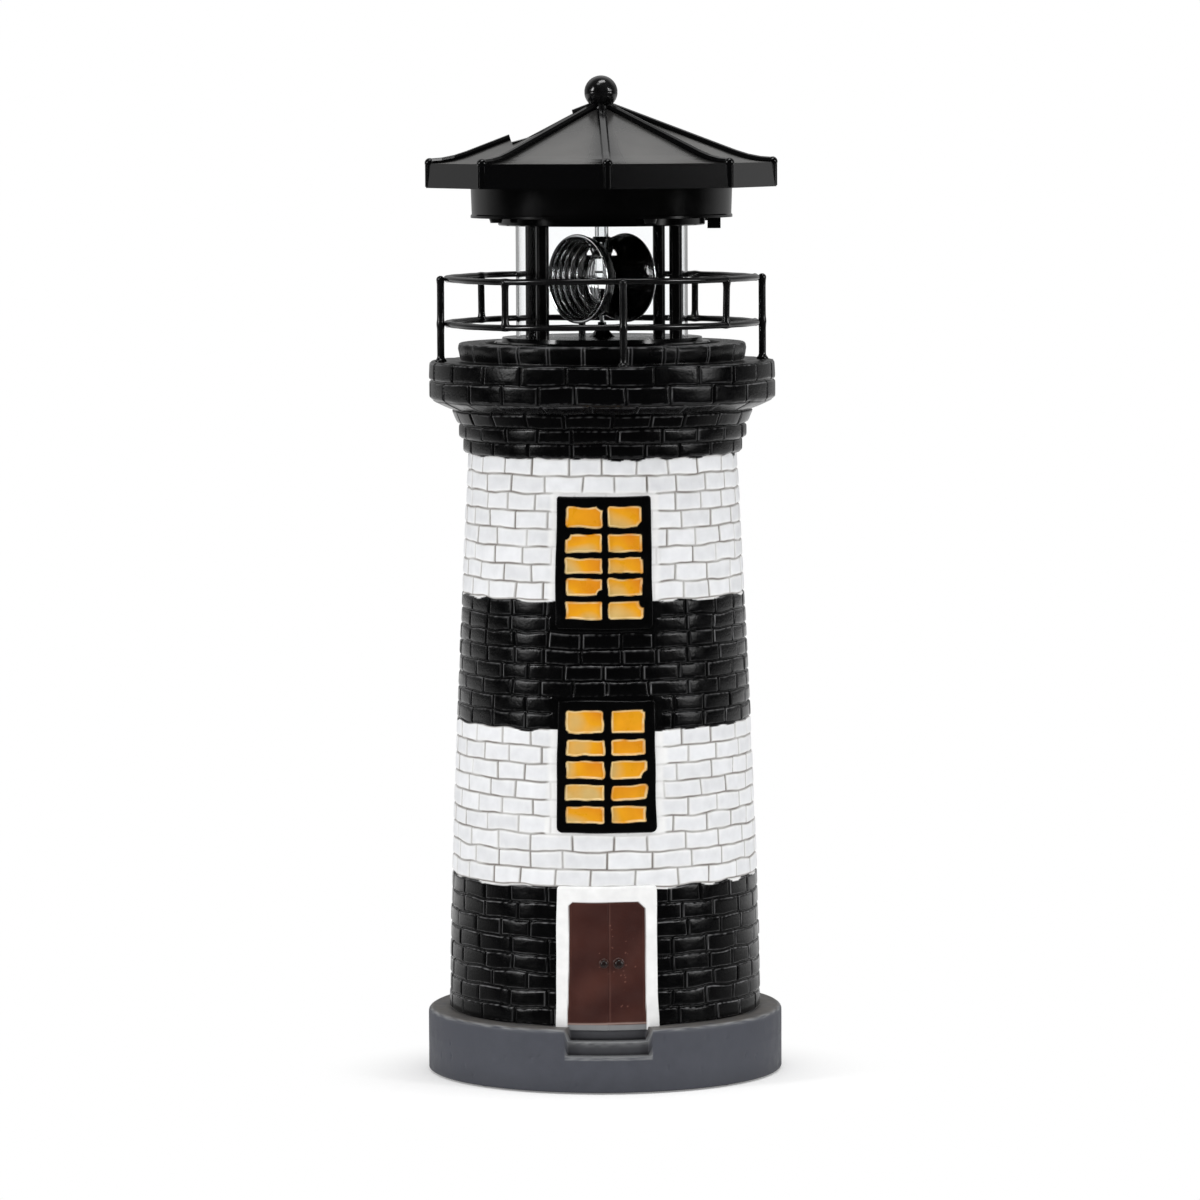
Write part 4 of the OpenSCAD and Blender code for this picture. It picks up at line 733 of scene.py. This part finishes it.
dark_knob, add = new_material("knob paint and shade")
place = add("TexCoord")
button_shade_noise = noise(add, 1500.0, 3.0)
axes = add("SeparateXYZ", {0: place.outputs["Object"]})
# Painted shade and highlight: brown at the foot, turning near black on the button above it.
painted_button_shade = add("MapRange", {0: axes.outputs["Z"], 1: 0.0005, 2: 0.0013, 3: 0.0, 4: 1.6})
painted_button_shade = add("Math", {0: painted_button_shade, 1: button_shade_noise}, operation="MULTIPLY", use_clamp=True)
tone = blend(add, painted_button_shade, (0.060, 0.026, 0.021), (0.001, 0.001, 0.001))
end_material(add, {"Base Color": tone, "Roughness": 0.28})
for side, angle, size in (("left", -0.4, 1.0), ("right", 4.9, 1.2)):
    knob = turned_piece("door_knob_" + side, knob_section)
    a = math.radians(angle) - math.pi / 2
    out = Vector((math.cos(a), math.sin(a), 0))
    seat = out * (tower_radius(knob_z) + 0.35) * mm + Vector((0, 0, knob_z * mm))
    facing = out.to_track_quat("Z", "Y").to_matrix().to_4x4()
    knob.matrix_world = Matrix.Translation(seat) @ facing @ Matrix.Scale(size, 4)
    knob.data.materials.append(dark_knob)
    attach(knob, "tower")
    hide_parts("tower_casting")


# ---- Gallery railing ----
# Painted steel wire: two hoops glued to four tall posts in the deck, with a short bar between
# the hoops halfway. The wire is bent by hand, and each crossing has a bead of glue under the paint.
def swept(name, path, radii, sides=18, closed=False):
    """A round rod along a path in mm, with its own radius at each point."""
    path, radii = np.array(path, float), np.broadcast_to(radii, len(path))
    if closed:
        along = np.roll(path, -1, 0) - np.roll(path, 1, 0)
    else:
        along = np.gradient(path, axis=0)
    along /= np.linalg.norm(along, axis=1)[:, None]
    side = np.cross(along, np.array((0.0, 0.0, 1.0)) if closed else np.array((0.31, 0.95, 0.0)))
    side /= np.linalg.norm(side, axis=1)[:, None]
    up = np.cross(side, along)
    a = np.linspace(0, 2 * math.pi, sides, endpoint=False)
    points = path[:, None, :] + radii[:, None, None] * (
        np.cos(a)[None, :, None] * side[:, None, :] + np.sin(a)[None, :, None] * up[:, None, :])
    faces = grid_quads(len(path), sides, closed).tolist()
    if not closed:
        faces += [tuple(range(sides))[::-1], tuple(range((len(path) - 1) * sides, len(path) * sides))]
    return put_in(name, smooth_mesh(name, points.reshape(-1, 3), faces))


rail_paint, add = new_material("rail paint")
runs = noise(add, 170.0, 2.0)
tone = blend(add, runs, (0.002, 0.002, 0.002), (0.006, 0.006, 0.0065))
rough = add("MapRange", {0: runs, 1: 0.3, 2: 0.7, 3: 0.14, 4: 0.24})
drips = add("Bump", {"Strength": 0.4, "Distance": 0.00008, "Height": runs})
end_material(add, {"Base Color": tone, "Roughness": rough, "Normal": drips})

hoop_r, post_ring_r = 55.9, 58.5
hoop_z = {"top": deck_z + 29.7, "lower": deck_z + 13.5}
post_turns = [7.2 + 90 * k for k in range(4)]
bar_turns = [52.2 + 90 * k for k in range(4)]
hoop_angle = np.linspace(0, 360, 720, endpoint=False)
for level_name, z in hoop_z.items():
    wave = np.radians(hoop_angle)
    glue = np.zeros(len(hoop_angle))
    for t in post_turns + bar_turns:
        away = np.degrees(wrapped(np.radians(hoop_angle - t)))
        glue += 0.22 * np.exp(-(away / 1.7) ** 2)
    r = hoop_r + 0.10 * np.sin(3 * wave + 1.1) - glue * 0.3
    level = z + 0.16 * np.sin(2 * wave + 0.4) + 0.10 * np.sin(5 * wave + 2)
    direction = wave - math.pi / 2
    path = np.stack([r * np.cos(direction), r * np.sin(direction), level], -1)
    hoop = swept("railing_hoop_" + level_name, path, 1.13 + glue + 0.03 * np.sin(23 * wave), closed=True)
    hoop.data.materials.append(rail_paint)
    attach(hoop, "tower")
    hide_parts("railing_top_ring" if level_name == "top" else "railing_lower_ring")

rods = []
for k, t in enumerate(post_turns):
    a = math.radians(t) - math.pi / 2
    base = Vector((post_ring_r * math.cos(a), post_ring_r * math.sin(a), 0))
    heights = np.r_[-3.6, np.linspace(-0.3, 4, 12), np.linspace(5, 29.5, 40), 30.0, 30.4, 30.7, 30.85]
    radii, path = [], []
    for h in heights:
        foot = 0.85 * math.exp(-((h - 0.2) / 0.8) ** 2) if h > -0.4 else 0
        bead = sum(0.20 * math.exp(-((h - q) / 1.3) ** 2) for q in (13.5, 29.7))
        dome = math.sqrt(max(0.02, 1 - max(0, (h - 29.5) / 1.4) ** 2))
        radii.append((1.31 + foot + bead) * dome)
        sway = 0.13 * math.sin(h / 31 * math.pi * (1 + k % 2))
        path.append((base.x + sway * math.cos(a + 1.2), base.y + sway * math.sin(a + 1.2), deck_z + h))
    rods.append(swept("railing_post_%d" % (k + 1), path, radii))
    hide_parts("railing_posts")
for k, t in enumerate(bar_turns):
    a = math.radians(t) - math.pi / 2
    heights = np.linspace(13.0, 30.1, 40)
    radii, path = [], []
    for h in heights:
        bead = sum(0.30 * math.exp(-((h - q) / 1.2) ** 2) for q in (14.2, 29.0))
        radii.append((1.22 + bead) * (0.8 if h in (heights[0], heights[-1]) else 1))
        lean = (0.10, -0.14, 0.06, -0.05)[k] * (h - 21.6) / 8
        r, b = hoop_r + lean, a + lean * 0.02
        path.append((r * math.cos(b), r * math.sin(b), deck_z + h))
    rods.append(swept("railing_bar_%d" % (k + 1), path, radii))
    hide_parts("railing_balusters")
for rod in rods:
    rod.data.materials.append(rail_paint)
    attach(rod, "tower")


# ---- Lamp unit's black plastic ----
# Floor, posts, lip, drum and motor can are injection moulded in glossy black plastic. They keep
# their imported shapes, and the skin shows faint flow marks, fingerprints and fine scratches.
def skin(name, low, high, scale, rough, depth, stretch=(1, 1, 1), **constants):
    """A material with an uneven colour, gloss and surface. The two colours are the ends of its range."""
    made, add = new_material(name)
    place = add("TexCoord")
    scaled = add("VectorMath", {0: place.outputs["Object"], 1: stretch}, operation="MULTIPLY")
    coarse = add("TexNoise", {"Vector": scaled, "Scale": scale, "Detail": 4.0})
    fine = add("TexNoise", {"Vector": scaled, "Scale": scale * 7, "Detail": 2.0})
    spread = add("MapRange", {0: coarse, 1: 0.33, 2: 0.67})
    tone = blend(add, spread, low, high)
    gloss = add("MapRange", {0: coarse, 1: 0.33, 2: 0.67, 3: rough[0], 4: rough[1]})
    grain = add("Bump", {"Strength": 0.4, "Distance": depth, "Height": fine})
    end_material(add, {"Base Color": tone, "Roughness": gloss, "Normal": grain, **constants})
    return made


def finish_nodes(material, *names):
    """Gives CAD nodes a finish in place of their plain one."""
    for name in names:
        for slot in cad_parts[name].material_slots:
            slot.material = material


unit_black = skin("unit black", (0.0008, 0.0008, 0.0008), (0.0022, 0.0022, 0.0024), 60, (0.10, 0.17), 0.00002,
                  **{"Specular IOR Level": 0.42})
finish_nodes(unit_black, "floor_disc", "lamp_posts", "housing_lip", "housing_drum", "motor_can",
             "switch_slider", "switch_body", "battery_cradle")


# ---- Clear tube and lamp ----
# The tube is clear polished acrylic, a millimetre thick. The lamp is a 5 mm diode in its own
# clear sleeve, and its two leads run up through the drum.
def clear(name, tint, rough, ior):
    """A see-through material with a trace of haze."""
    made, add = new_material(name)
    haze = noise(add, 60.0, 3.0)
    tone = blend(add, haze, tint, (1, 1, 1))
    gloss = add("MapRange", {0: haze, 1: 0.35, 2: 0.75, 3: rough[0], 4: rough[1]})
    end_material(add, {"Base Color": tone, "Roughness": gloss, "Transmission Weight": 1.0, "IOR": ior})
    return made


tube_clear = clear("tube clear", (0.97, 0.985, 0.99), (0.0, 0.03), 1.09)
finish_nodes(tube_clear, "clear_tube")
lens_clear = clear("lens clear", (0.93, 0.96, 0.97), (0.02, 0.12), 1.45)
finish_nodes(lens_clear, "led", "led_tube")


# ---- Reflectors ----
# Two moulded bowls, neck to neck, that throw the lamp's light to both sides as they turn. They are
# glossy black outside, and inside plated over round steps. The plating is bright and a little uneven.
plating, add = new_material("bright plating")
plated = add("Attribute", attribute_name="plated")
cloud = noise(add, 260.0, 3.0)
bright = blend(add, cloud, (0.80, 0.805, 0.82), (0.93, 0.93, 0.93))
bare = blend(add, cloud, (0.001, 0.001, 0.001), (0.004, 0.004, 0.004))
tone = add("Mix", {0: plated.outputs["Fac"], 6: bare, 7: bright}, data_type="RGBA").outputs[2]
gloss = add("MapRange", {0: cloud, 1: 0.3, 2: 0.7, 3: 0.03, 4: 0.09})
satin = add("MapRange", {0: plated.outputs["Fac"], 3: 0.08, 4: 0.0})
gloss = add("Math", {0: gloss, 1: satin})
flow = add("Bump", {"Strength": 0.2, "Distance": 0.0001, "Height": cloud})
end_material(add, {"Base Color": tone, "Roughness": gloss, "Normal": flow,
                   "Metallic": plated.outputs["Fac"]})

mouth_r, mouth_at, end_at, dome = 15.75, 12.0, 0.05, 14.3
lamp_hole, post_hole = 3.05, 1.9
bowl_steps, step_depth = 6, 0.5


def bowl_radius(u):
    """Radius of the outside of a bowl at a distance from the axis that it turns on."""
    return mouth_r * math.sqrt(1 - ((mouth_at - u) / dome) ** 2)


section = [(bowl_radius(end_at) - 0.9, end_at), (bowl_radius(end_at), end_at)]
for u in np.linspace(end_at + 0.3, mouth_at - 0.9, 24):
    section.append((bowl_radius(u), u))
for a in map(math.radians, np.linspace(-90, 90, 11)):
    section.append((mouth_r + 0.05 + 0.30 * math.cos(a), 11.55 + 0.40 * math.sin(a)))
outside = len(section) - 8
edges = np.linspace(mouth_at - 0.35, end_at + 0.1, bowl_steps + 1)
for high, low in zip(edges[:-1], edges[1:]):
    for way in np.linspace(0.03, 0.97, 14):
        u = high + (low - high) * way
        section.append((bowl_radius(u) - 0.45 - step_depth * math.sin(math.pi * way) ** 0.8, u))
beacon_z, front_turn = 286.99, -90 - 48.5        # height of the axis, and the way the front bowl faces
for name, flip in (("front", 0), ("rear", 180)):
    angles = np.linspace(0, 2 * math.pi, 192, endpoint=False)
    profile = np.array(section)
    across = profile[:, :1] * np.sin(angles)[None, :]
    upright = profile[:, :1] * np.cos(angles)[None, :]
    # At the top the neck leaves a round way for the lamp, and at the bottom one for the post
    way = np.where(upright > 0, lamp_hole, post_hole)
    start = np.sqrt(np.maximum(end_at ** 2, way ** 2 - across ** 2))
    out = start + (profile[:, 1:2] - end_at) * (mouth_at - start) / (mouth_at - end_at)
    # The crown of both necks is cut away, so that the lamp can be put in from above
    crown = 8.3 + 2.3 * np.clip(out - 1.8, 0, None)
    open_top = (upright > crown).ravel()
    points = np.stack([out, across, np.minimum(upright, crown)], -1).reshape(-1, 3)
    quads = grid_quads(len(profile), len(angles), True)
    mesh = smooth_mesh("reflector_bowl_" + name, points, quads[~open_top[quads].all(1)].tolist(), 55)
    inner = np.repeat((np.arange(len(profile)) >= outside).astype(np.float32), len(angles))
    mesh.attributes.new("plated", "FLOAT", "POINT").data.foreach_set("value", inner)
    turned = Matrix.Rotation(math.radians(front_turn + flip), 4, "Z")
    mesh.transform(Matrix.Translation((0, 0, beacon_z * mm)) @ turned)
    mesh.update()
    bowl = put_in("reflector_bowl_" + name, mesh)
    mesh.materials.append(plating)
    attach(bowl, "beacon")
    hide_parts("reflector_" + name)


# ---- Beacon carrier and collar ----
# Black plastic: a slender post, pressed on the output shaft, with a flange under the necks of both
# bowls, and a collar on a bar from the rear bowl, which turns round the lamp's sleeve.
carrier_section = [(0.95, -13.4), (1.7, -13.3), (1.9, -12.7), (3.1, -12.2), (3.2, -11.6), (3.0, -11.1),
                   (1.7, -10.9), (1.55, -9.6), (1.45, -8.9), (1.2, -8.6), (1.15, -3.9), (0.7, -3.7)]
carrier = turned_piece("beacon_carrier", carrier_section)
carrier.matrix_world = Matrix.Translation((0, 0, beacon_z * mm))
carrier_black = skin("carrier plastic", (0.001, 0.001, 0.001), (0.004, 0.004, 0.004), 300,
                     (0.15, 0.28), 0.00004)
carrier.data.materials.append(carrier_black)
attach(carrier, "beacon")
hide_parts("reflector_hub")
collar_out, collar_in, collar_low, collar_high = 3.2, 2.62, 12.95, 15.0
collar_section = [(collar_in, collar_low), (collar_out - 0.15, collar_low), (collar_out, collar_low + 0.2),
                  (collar_out, collar_high - 0.2), (collar_out - 0.15, collar_high),
                  (collar_in + 0.1, collar_high), (collar_in, collar_high - 0.15)]
angles = np.linspace(0, 2 * math.pi, 64, endpoint=False)
verts = [(r * math.cos(a), r * math.sin(a), z) for r, z in collar_section for a in angles]
faces = grid_quads(len(collar_section), 64, True)[:, ::-1].tolist()
n = len(verts)
for out, low, high in ((collar_out - 0.2, 13.1, 14.4), (4.6, 13.2, 14.3), (6.7, 13.3, 14.2)):
    verts += [(-out, 1.25, low), (-out, -1.25, low), (-out, -1.25, high), (-out, 1.25, high)]
for k in (n, n + 4):
    faces += [(k + i, k + (i + 1) % 4, k + 4 + (i + 1) % 4, k + 4 + i) for i in range(4)]
faces += [(n + 3, n + 2, n + 1, n), (n + 8, n + 9, n + 10, n + 11)]
mesh = smooth_mesh("beacon_collar", verts, faces, 35)
turned = Matrix.Rotation(math.radians(front_turn), 4, "Z")
mesh.transform(Matrix.Translation((0, 0, beacon_z * mm)) @ turned)
mesh.update()
collar = put_in("beacon_collar", mesh)
mesh.materials.append(carrier_black)
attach(collar, "beacon")
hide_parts("reflector_hub")


# ---- Roof ----
# One moulded shell, screwed to the drum from below: eight flats with ribs on the hips and a bead
# at each corner. A pale film lies on the flats, least beside the ribs and at the top: partly dust, partly
# painted sheen.
roof_turn = 2.0
roof_black, add = new_material("roof plastic")
place = add("TexCoord")
axes = add("SeparateXYZ", {0: place.outputs["Object"]})
turned_by = add("Math", {0: axes.outputs["Y"], 1: axes.outputs["X"]}, operation="ARCTAN2")
shifted = add("Math", {0: turned_by, 1: math.radians(360 + 90 - roof_turn)}, operation="ADD")
in_flat = add("Math", {0: shifted, 1: math.radians(45)}, operation="MODULO")
from_middle = add("Math", {0: in_flat, 1: math.radians(22.5)}, operation="SUBTRACT")
side = add("Math", {0: from_middle}, operation="ABSOLUTE")
beside_rib = add("MapRange", {0: side, 1: math.radians(13), 2: math.radians(20.5), 3: 1.0, 4: 0.06})
lower = add("MapRange", {0: axes.outputs["Z"], 1: 0.3475, 2: 0.3345, 3: 0.15, 4: 1.0})
facing = add("NewGeometry")
slope = add("SeparateXYZ", {0: facing.outputs["True Normal"]})
on_flat = add("MapRange", {0: slope.outputs["Z"], 1: 0.55, 2: 0.85})
clouds = noise(add, 55.0, 5.0)
patches = add("MapRange", {0: clouds, 1: 0.3, 2: 0.7, 3: 0.55, 4: 1.0})
# The pale film is partly dust and partly painted sheen, lighter on the flats that face upward.
dust = add("Math", {0: beside_rib, 1: lower}, operation="MULTIPLY")
dust = add("Math", {0: dust, 1: on_flat}, operation="MULTIPLY")
dust = add("Math", {0: dust, 1: patches}, operation="MULTIPLY")
tone = blend(add, dust, (0.0018, 0.0018, 0.0020), (0.120, 0.118, 0.114))
gloss = add("MapRange", {0: dust, 1: 0.0, 2: 1.0, 3: 0.13, 4: 0.42})
fine = noise(add, 700.0, 2.0)
grain = add("Bump", {"Strength": 0.3, "Distance": 0.00002, "Height": fine})
end_material(add, {"Base Color": tone, "Roughness": gloss, "Normal": grain, "Specular IOR Level": 0.3})
finish_nodes(roof_black, "roof")
screw_black = skin("screw black", (0.002, 0.002, 0.002), (0.006, 0.006, 0.006), 500, (0.25, 0.40), 0.00003)
finish_nodes(screw_black, "roof_screws", "lip_screws")


# ---- Ball on the roof ----
# A moulded plastic ball with a faint seam round its middle, on a stem that is pressed into the
# top of the roof.
ball_black = skin("ball plastic", (0.003, 0.003, 0.003), (0.007, 0.007, 0.0075), 200, (0.10, 0.2), 0.00005)
ball_z, ball_r, seam = 353.92, 5.99, 0.04
ball_arc = [(ball_r * math.sin(math.radians(a)) - (seam if abs(a - 90) < 2 else 0),
             -ball_r * math.cos(math.radians(a))) for a in np.linspace(1, 179, 72)]
stem = [(1.7, -9.2), (1.7, -6.4), (1.72, -5.9)]
ball = turned_piece("roof_ball", stem + [p for p in ball_arc if p[1] > -5.6], 72)
ball.matrix_world = Matrix.Translation((0, 0, ball_z * mm))
ball.data.materials.append(ball_black)
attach(ball, "lamp_unit")
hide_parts("finial_ball")


# ---- Solar panel ----
# Five strips of dark cell on a board, joined by two silver ribbons, under a clear cover that is
# let into a pocket of the roof's left side.
panel_slope = 0.277
panel_frame = (
    Matrix.Rotation(math.radians(-90 + roof_turn + 6 * 45), 4, "Z")
    @ Matrix.Translation((31.5 * mm, 0, 336.287 * mm))
    @ Matrix.Rotation(math.atan(panel_slope), 4, "Y")
)
panel_long = 21.5 / math.cos(math.atan(panel_slope))


def panel_width(x):
    """Half the panel's width at a distance down its slope, mm; x runs from -panel_long to 0."""
    return 13 + 7 * x / panel_long


def slab(name, strips, low, high, material):
    """Flat four-sided plates in the panel's own plane: (x0, x1, half width at x0, at x1, middle)."""
    verts, faces = [], []
    for x0, x1, w0, w1, middle in strips:
        n = len(verts)
        for z in (low, high):
            verts += [(x0, middle - w0, z), (x0, middle + w0, z), (x1, middle + w1, z), (x1, middle - w1, z)]
        faces += [(n, n + 1, n + 2, n + 3), (n + 7, n + 6, n + 5, n + 4), (n, n + 4, n + 5, n + 1),
                  (n + 1, n + 5, n + 6, n + 2), (n + 2, n + 6, n + 7, n + 3), (n + 3, n + 7, n + 4, n)]
    mesh = bpy.data.meshes.new(name)
    mesh.from_pydata([tuple(c * mm for c in v) for v in verts], [], faces)
    mesh.transform(panel_frame)
    mesh.update()
    made = put_in(name, mesh)
    mesh.materials.append(material)
    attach(made, "lamp_unit")
    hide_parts("solar_panel")


cell_blue = skin("cell", (0.010, 0.016, 0.045), (0.022, 0.036, 0.095), 240, (0.18, 0.32), 0.00004, (1, 6, 1))
panel_board = skin("panel board", (0.38, 0.39, 0.38), (0.50, 0.50, 0.48), 400, (0.5, 0.65), 0.00005)
ribbon_silver = skin("ribbon", (0.62, 0.62, 0.60), (0.78, 0.78, 0.76), 900, (0.25, 0.4), 0.00003, Metallic=1.0)
slab("solar_board", [(-panel_long, 0, 6, 13, 0)], -1.7, -0.62, panel_board)
pitch = (panel_long - 1.2) / 5
strips = []
for i in range(5):
    x0 = -panel_long + 0.6 + i * pitch + 0.15
    x1 = x0 + pitch - 0.3
    strips.append((x0, x1, panel_width(x0) - 0.8, panel_width(x1) - 0.8, 0))
slab("solar_cell_strips", strips, -0.62, -0.47, cell_blue)
ribbons = [(-panel_long + 0.5, -0.5, 0.3, 0.3, y) for y in (-3.4, 3.4)]
fingers = [(x0 + 0.6 + k * 0.85, x0 + 0.66 + k * 0.85, w - 0.5, w - 0.5, 0)
           for x0, _, w, _, _ in strips for k in range(4)]
slab("solar_ribbons", ribbons + fingers, -0.47, -0.42, ribbon_silver)
cover_clear = clear("panel cover", (0.86, 0.92, 0.97), (0.01, 0.08), 1.4)
finish_nodes(cover_clear, "panel_cover")


# ---- Works inside ----
# Screws, gears, motor, battery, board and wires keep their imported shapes. They are out of sight
# until the lamp unit is lifted or opened, and are finished as what they are.
zinc = skin("zinc steel", (0.40, 0.41, 0.42), (0.60, 0.60, 0.61), 700, (0.25, 0.45), 0.00004,
            (1, 1, 5), Metallic=1.0)
finish_nodes(zinc, "plate_screws", "board_screws", "gear_arbors", "output_shaft",
             "battery_spring", "battery_plate", "motor", "led_leads")
brass = skin("turned brass", (0.50, 0.36, 0.14), (0.66, 0.50, 0.22), 600, (0.2, 0.38), 0.00004,
             (1, 1, 8), Metallic=1.0)
finish_nodes(brass, "motor_pinion")
gear_white = skin("gear plastic", (0.66, 0.65, 0.60), (0.76, 0.75, 0.70), 500, (0.35, 0.5), 0.00006)
finish_nodes(gear_white, "output_gear", "compound_gear_upper", "compound_gear_lower", "gear_plate")
foot_rubber = skin("foot rubber", (0.018, 0.018, 0.018), (0.035, 0.035, 0.034), 900, (0.7, 0.85), 0.0001)
finish_nodes(foot_rubber, "foot_pads")
sleeve = skin("cell sleeve", (0.020, 0.16, 0.05), (0.035, 0.24, 0.08), 120, (0.2, 0.35), 0.00008, (1, 9, 9))
finish_nodes(sleeve, "battery_cell")
solder_mask = skin("solder mask", (0.010, 0.085, 0.030), (0.022, 0.14, 0.05), 350, (0.25, 0.4), 0.00005)
finish_nodes(solder_mask, "circuit_board")
chip_black = skin("chip cases", (0.012, 0.012, 0.012), (0.03, 0.03, 0.03), 1200, (0.45, 0.6), 0.00005)
finish_nodes(chip_black, "board_parts")
wire_red = skin("wire sleeve", (0.22, 0.012, 0.010), (0.34, 0.028, 0.020), 500, (0.3, 0.45), 0.00004)
finish_nodes(wire_red, "motor_leads", "panel_leads", "battery_leads", "switch_leads")
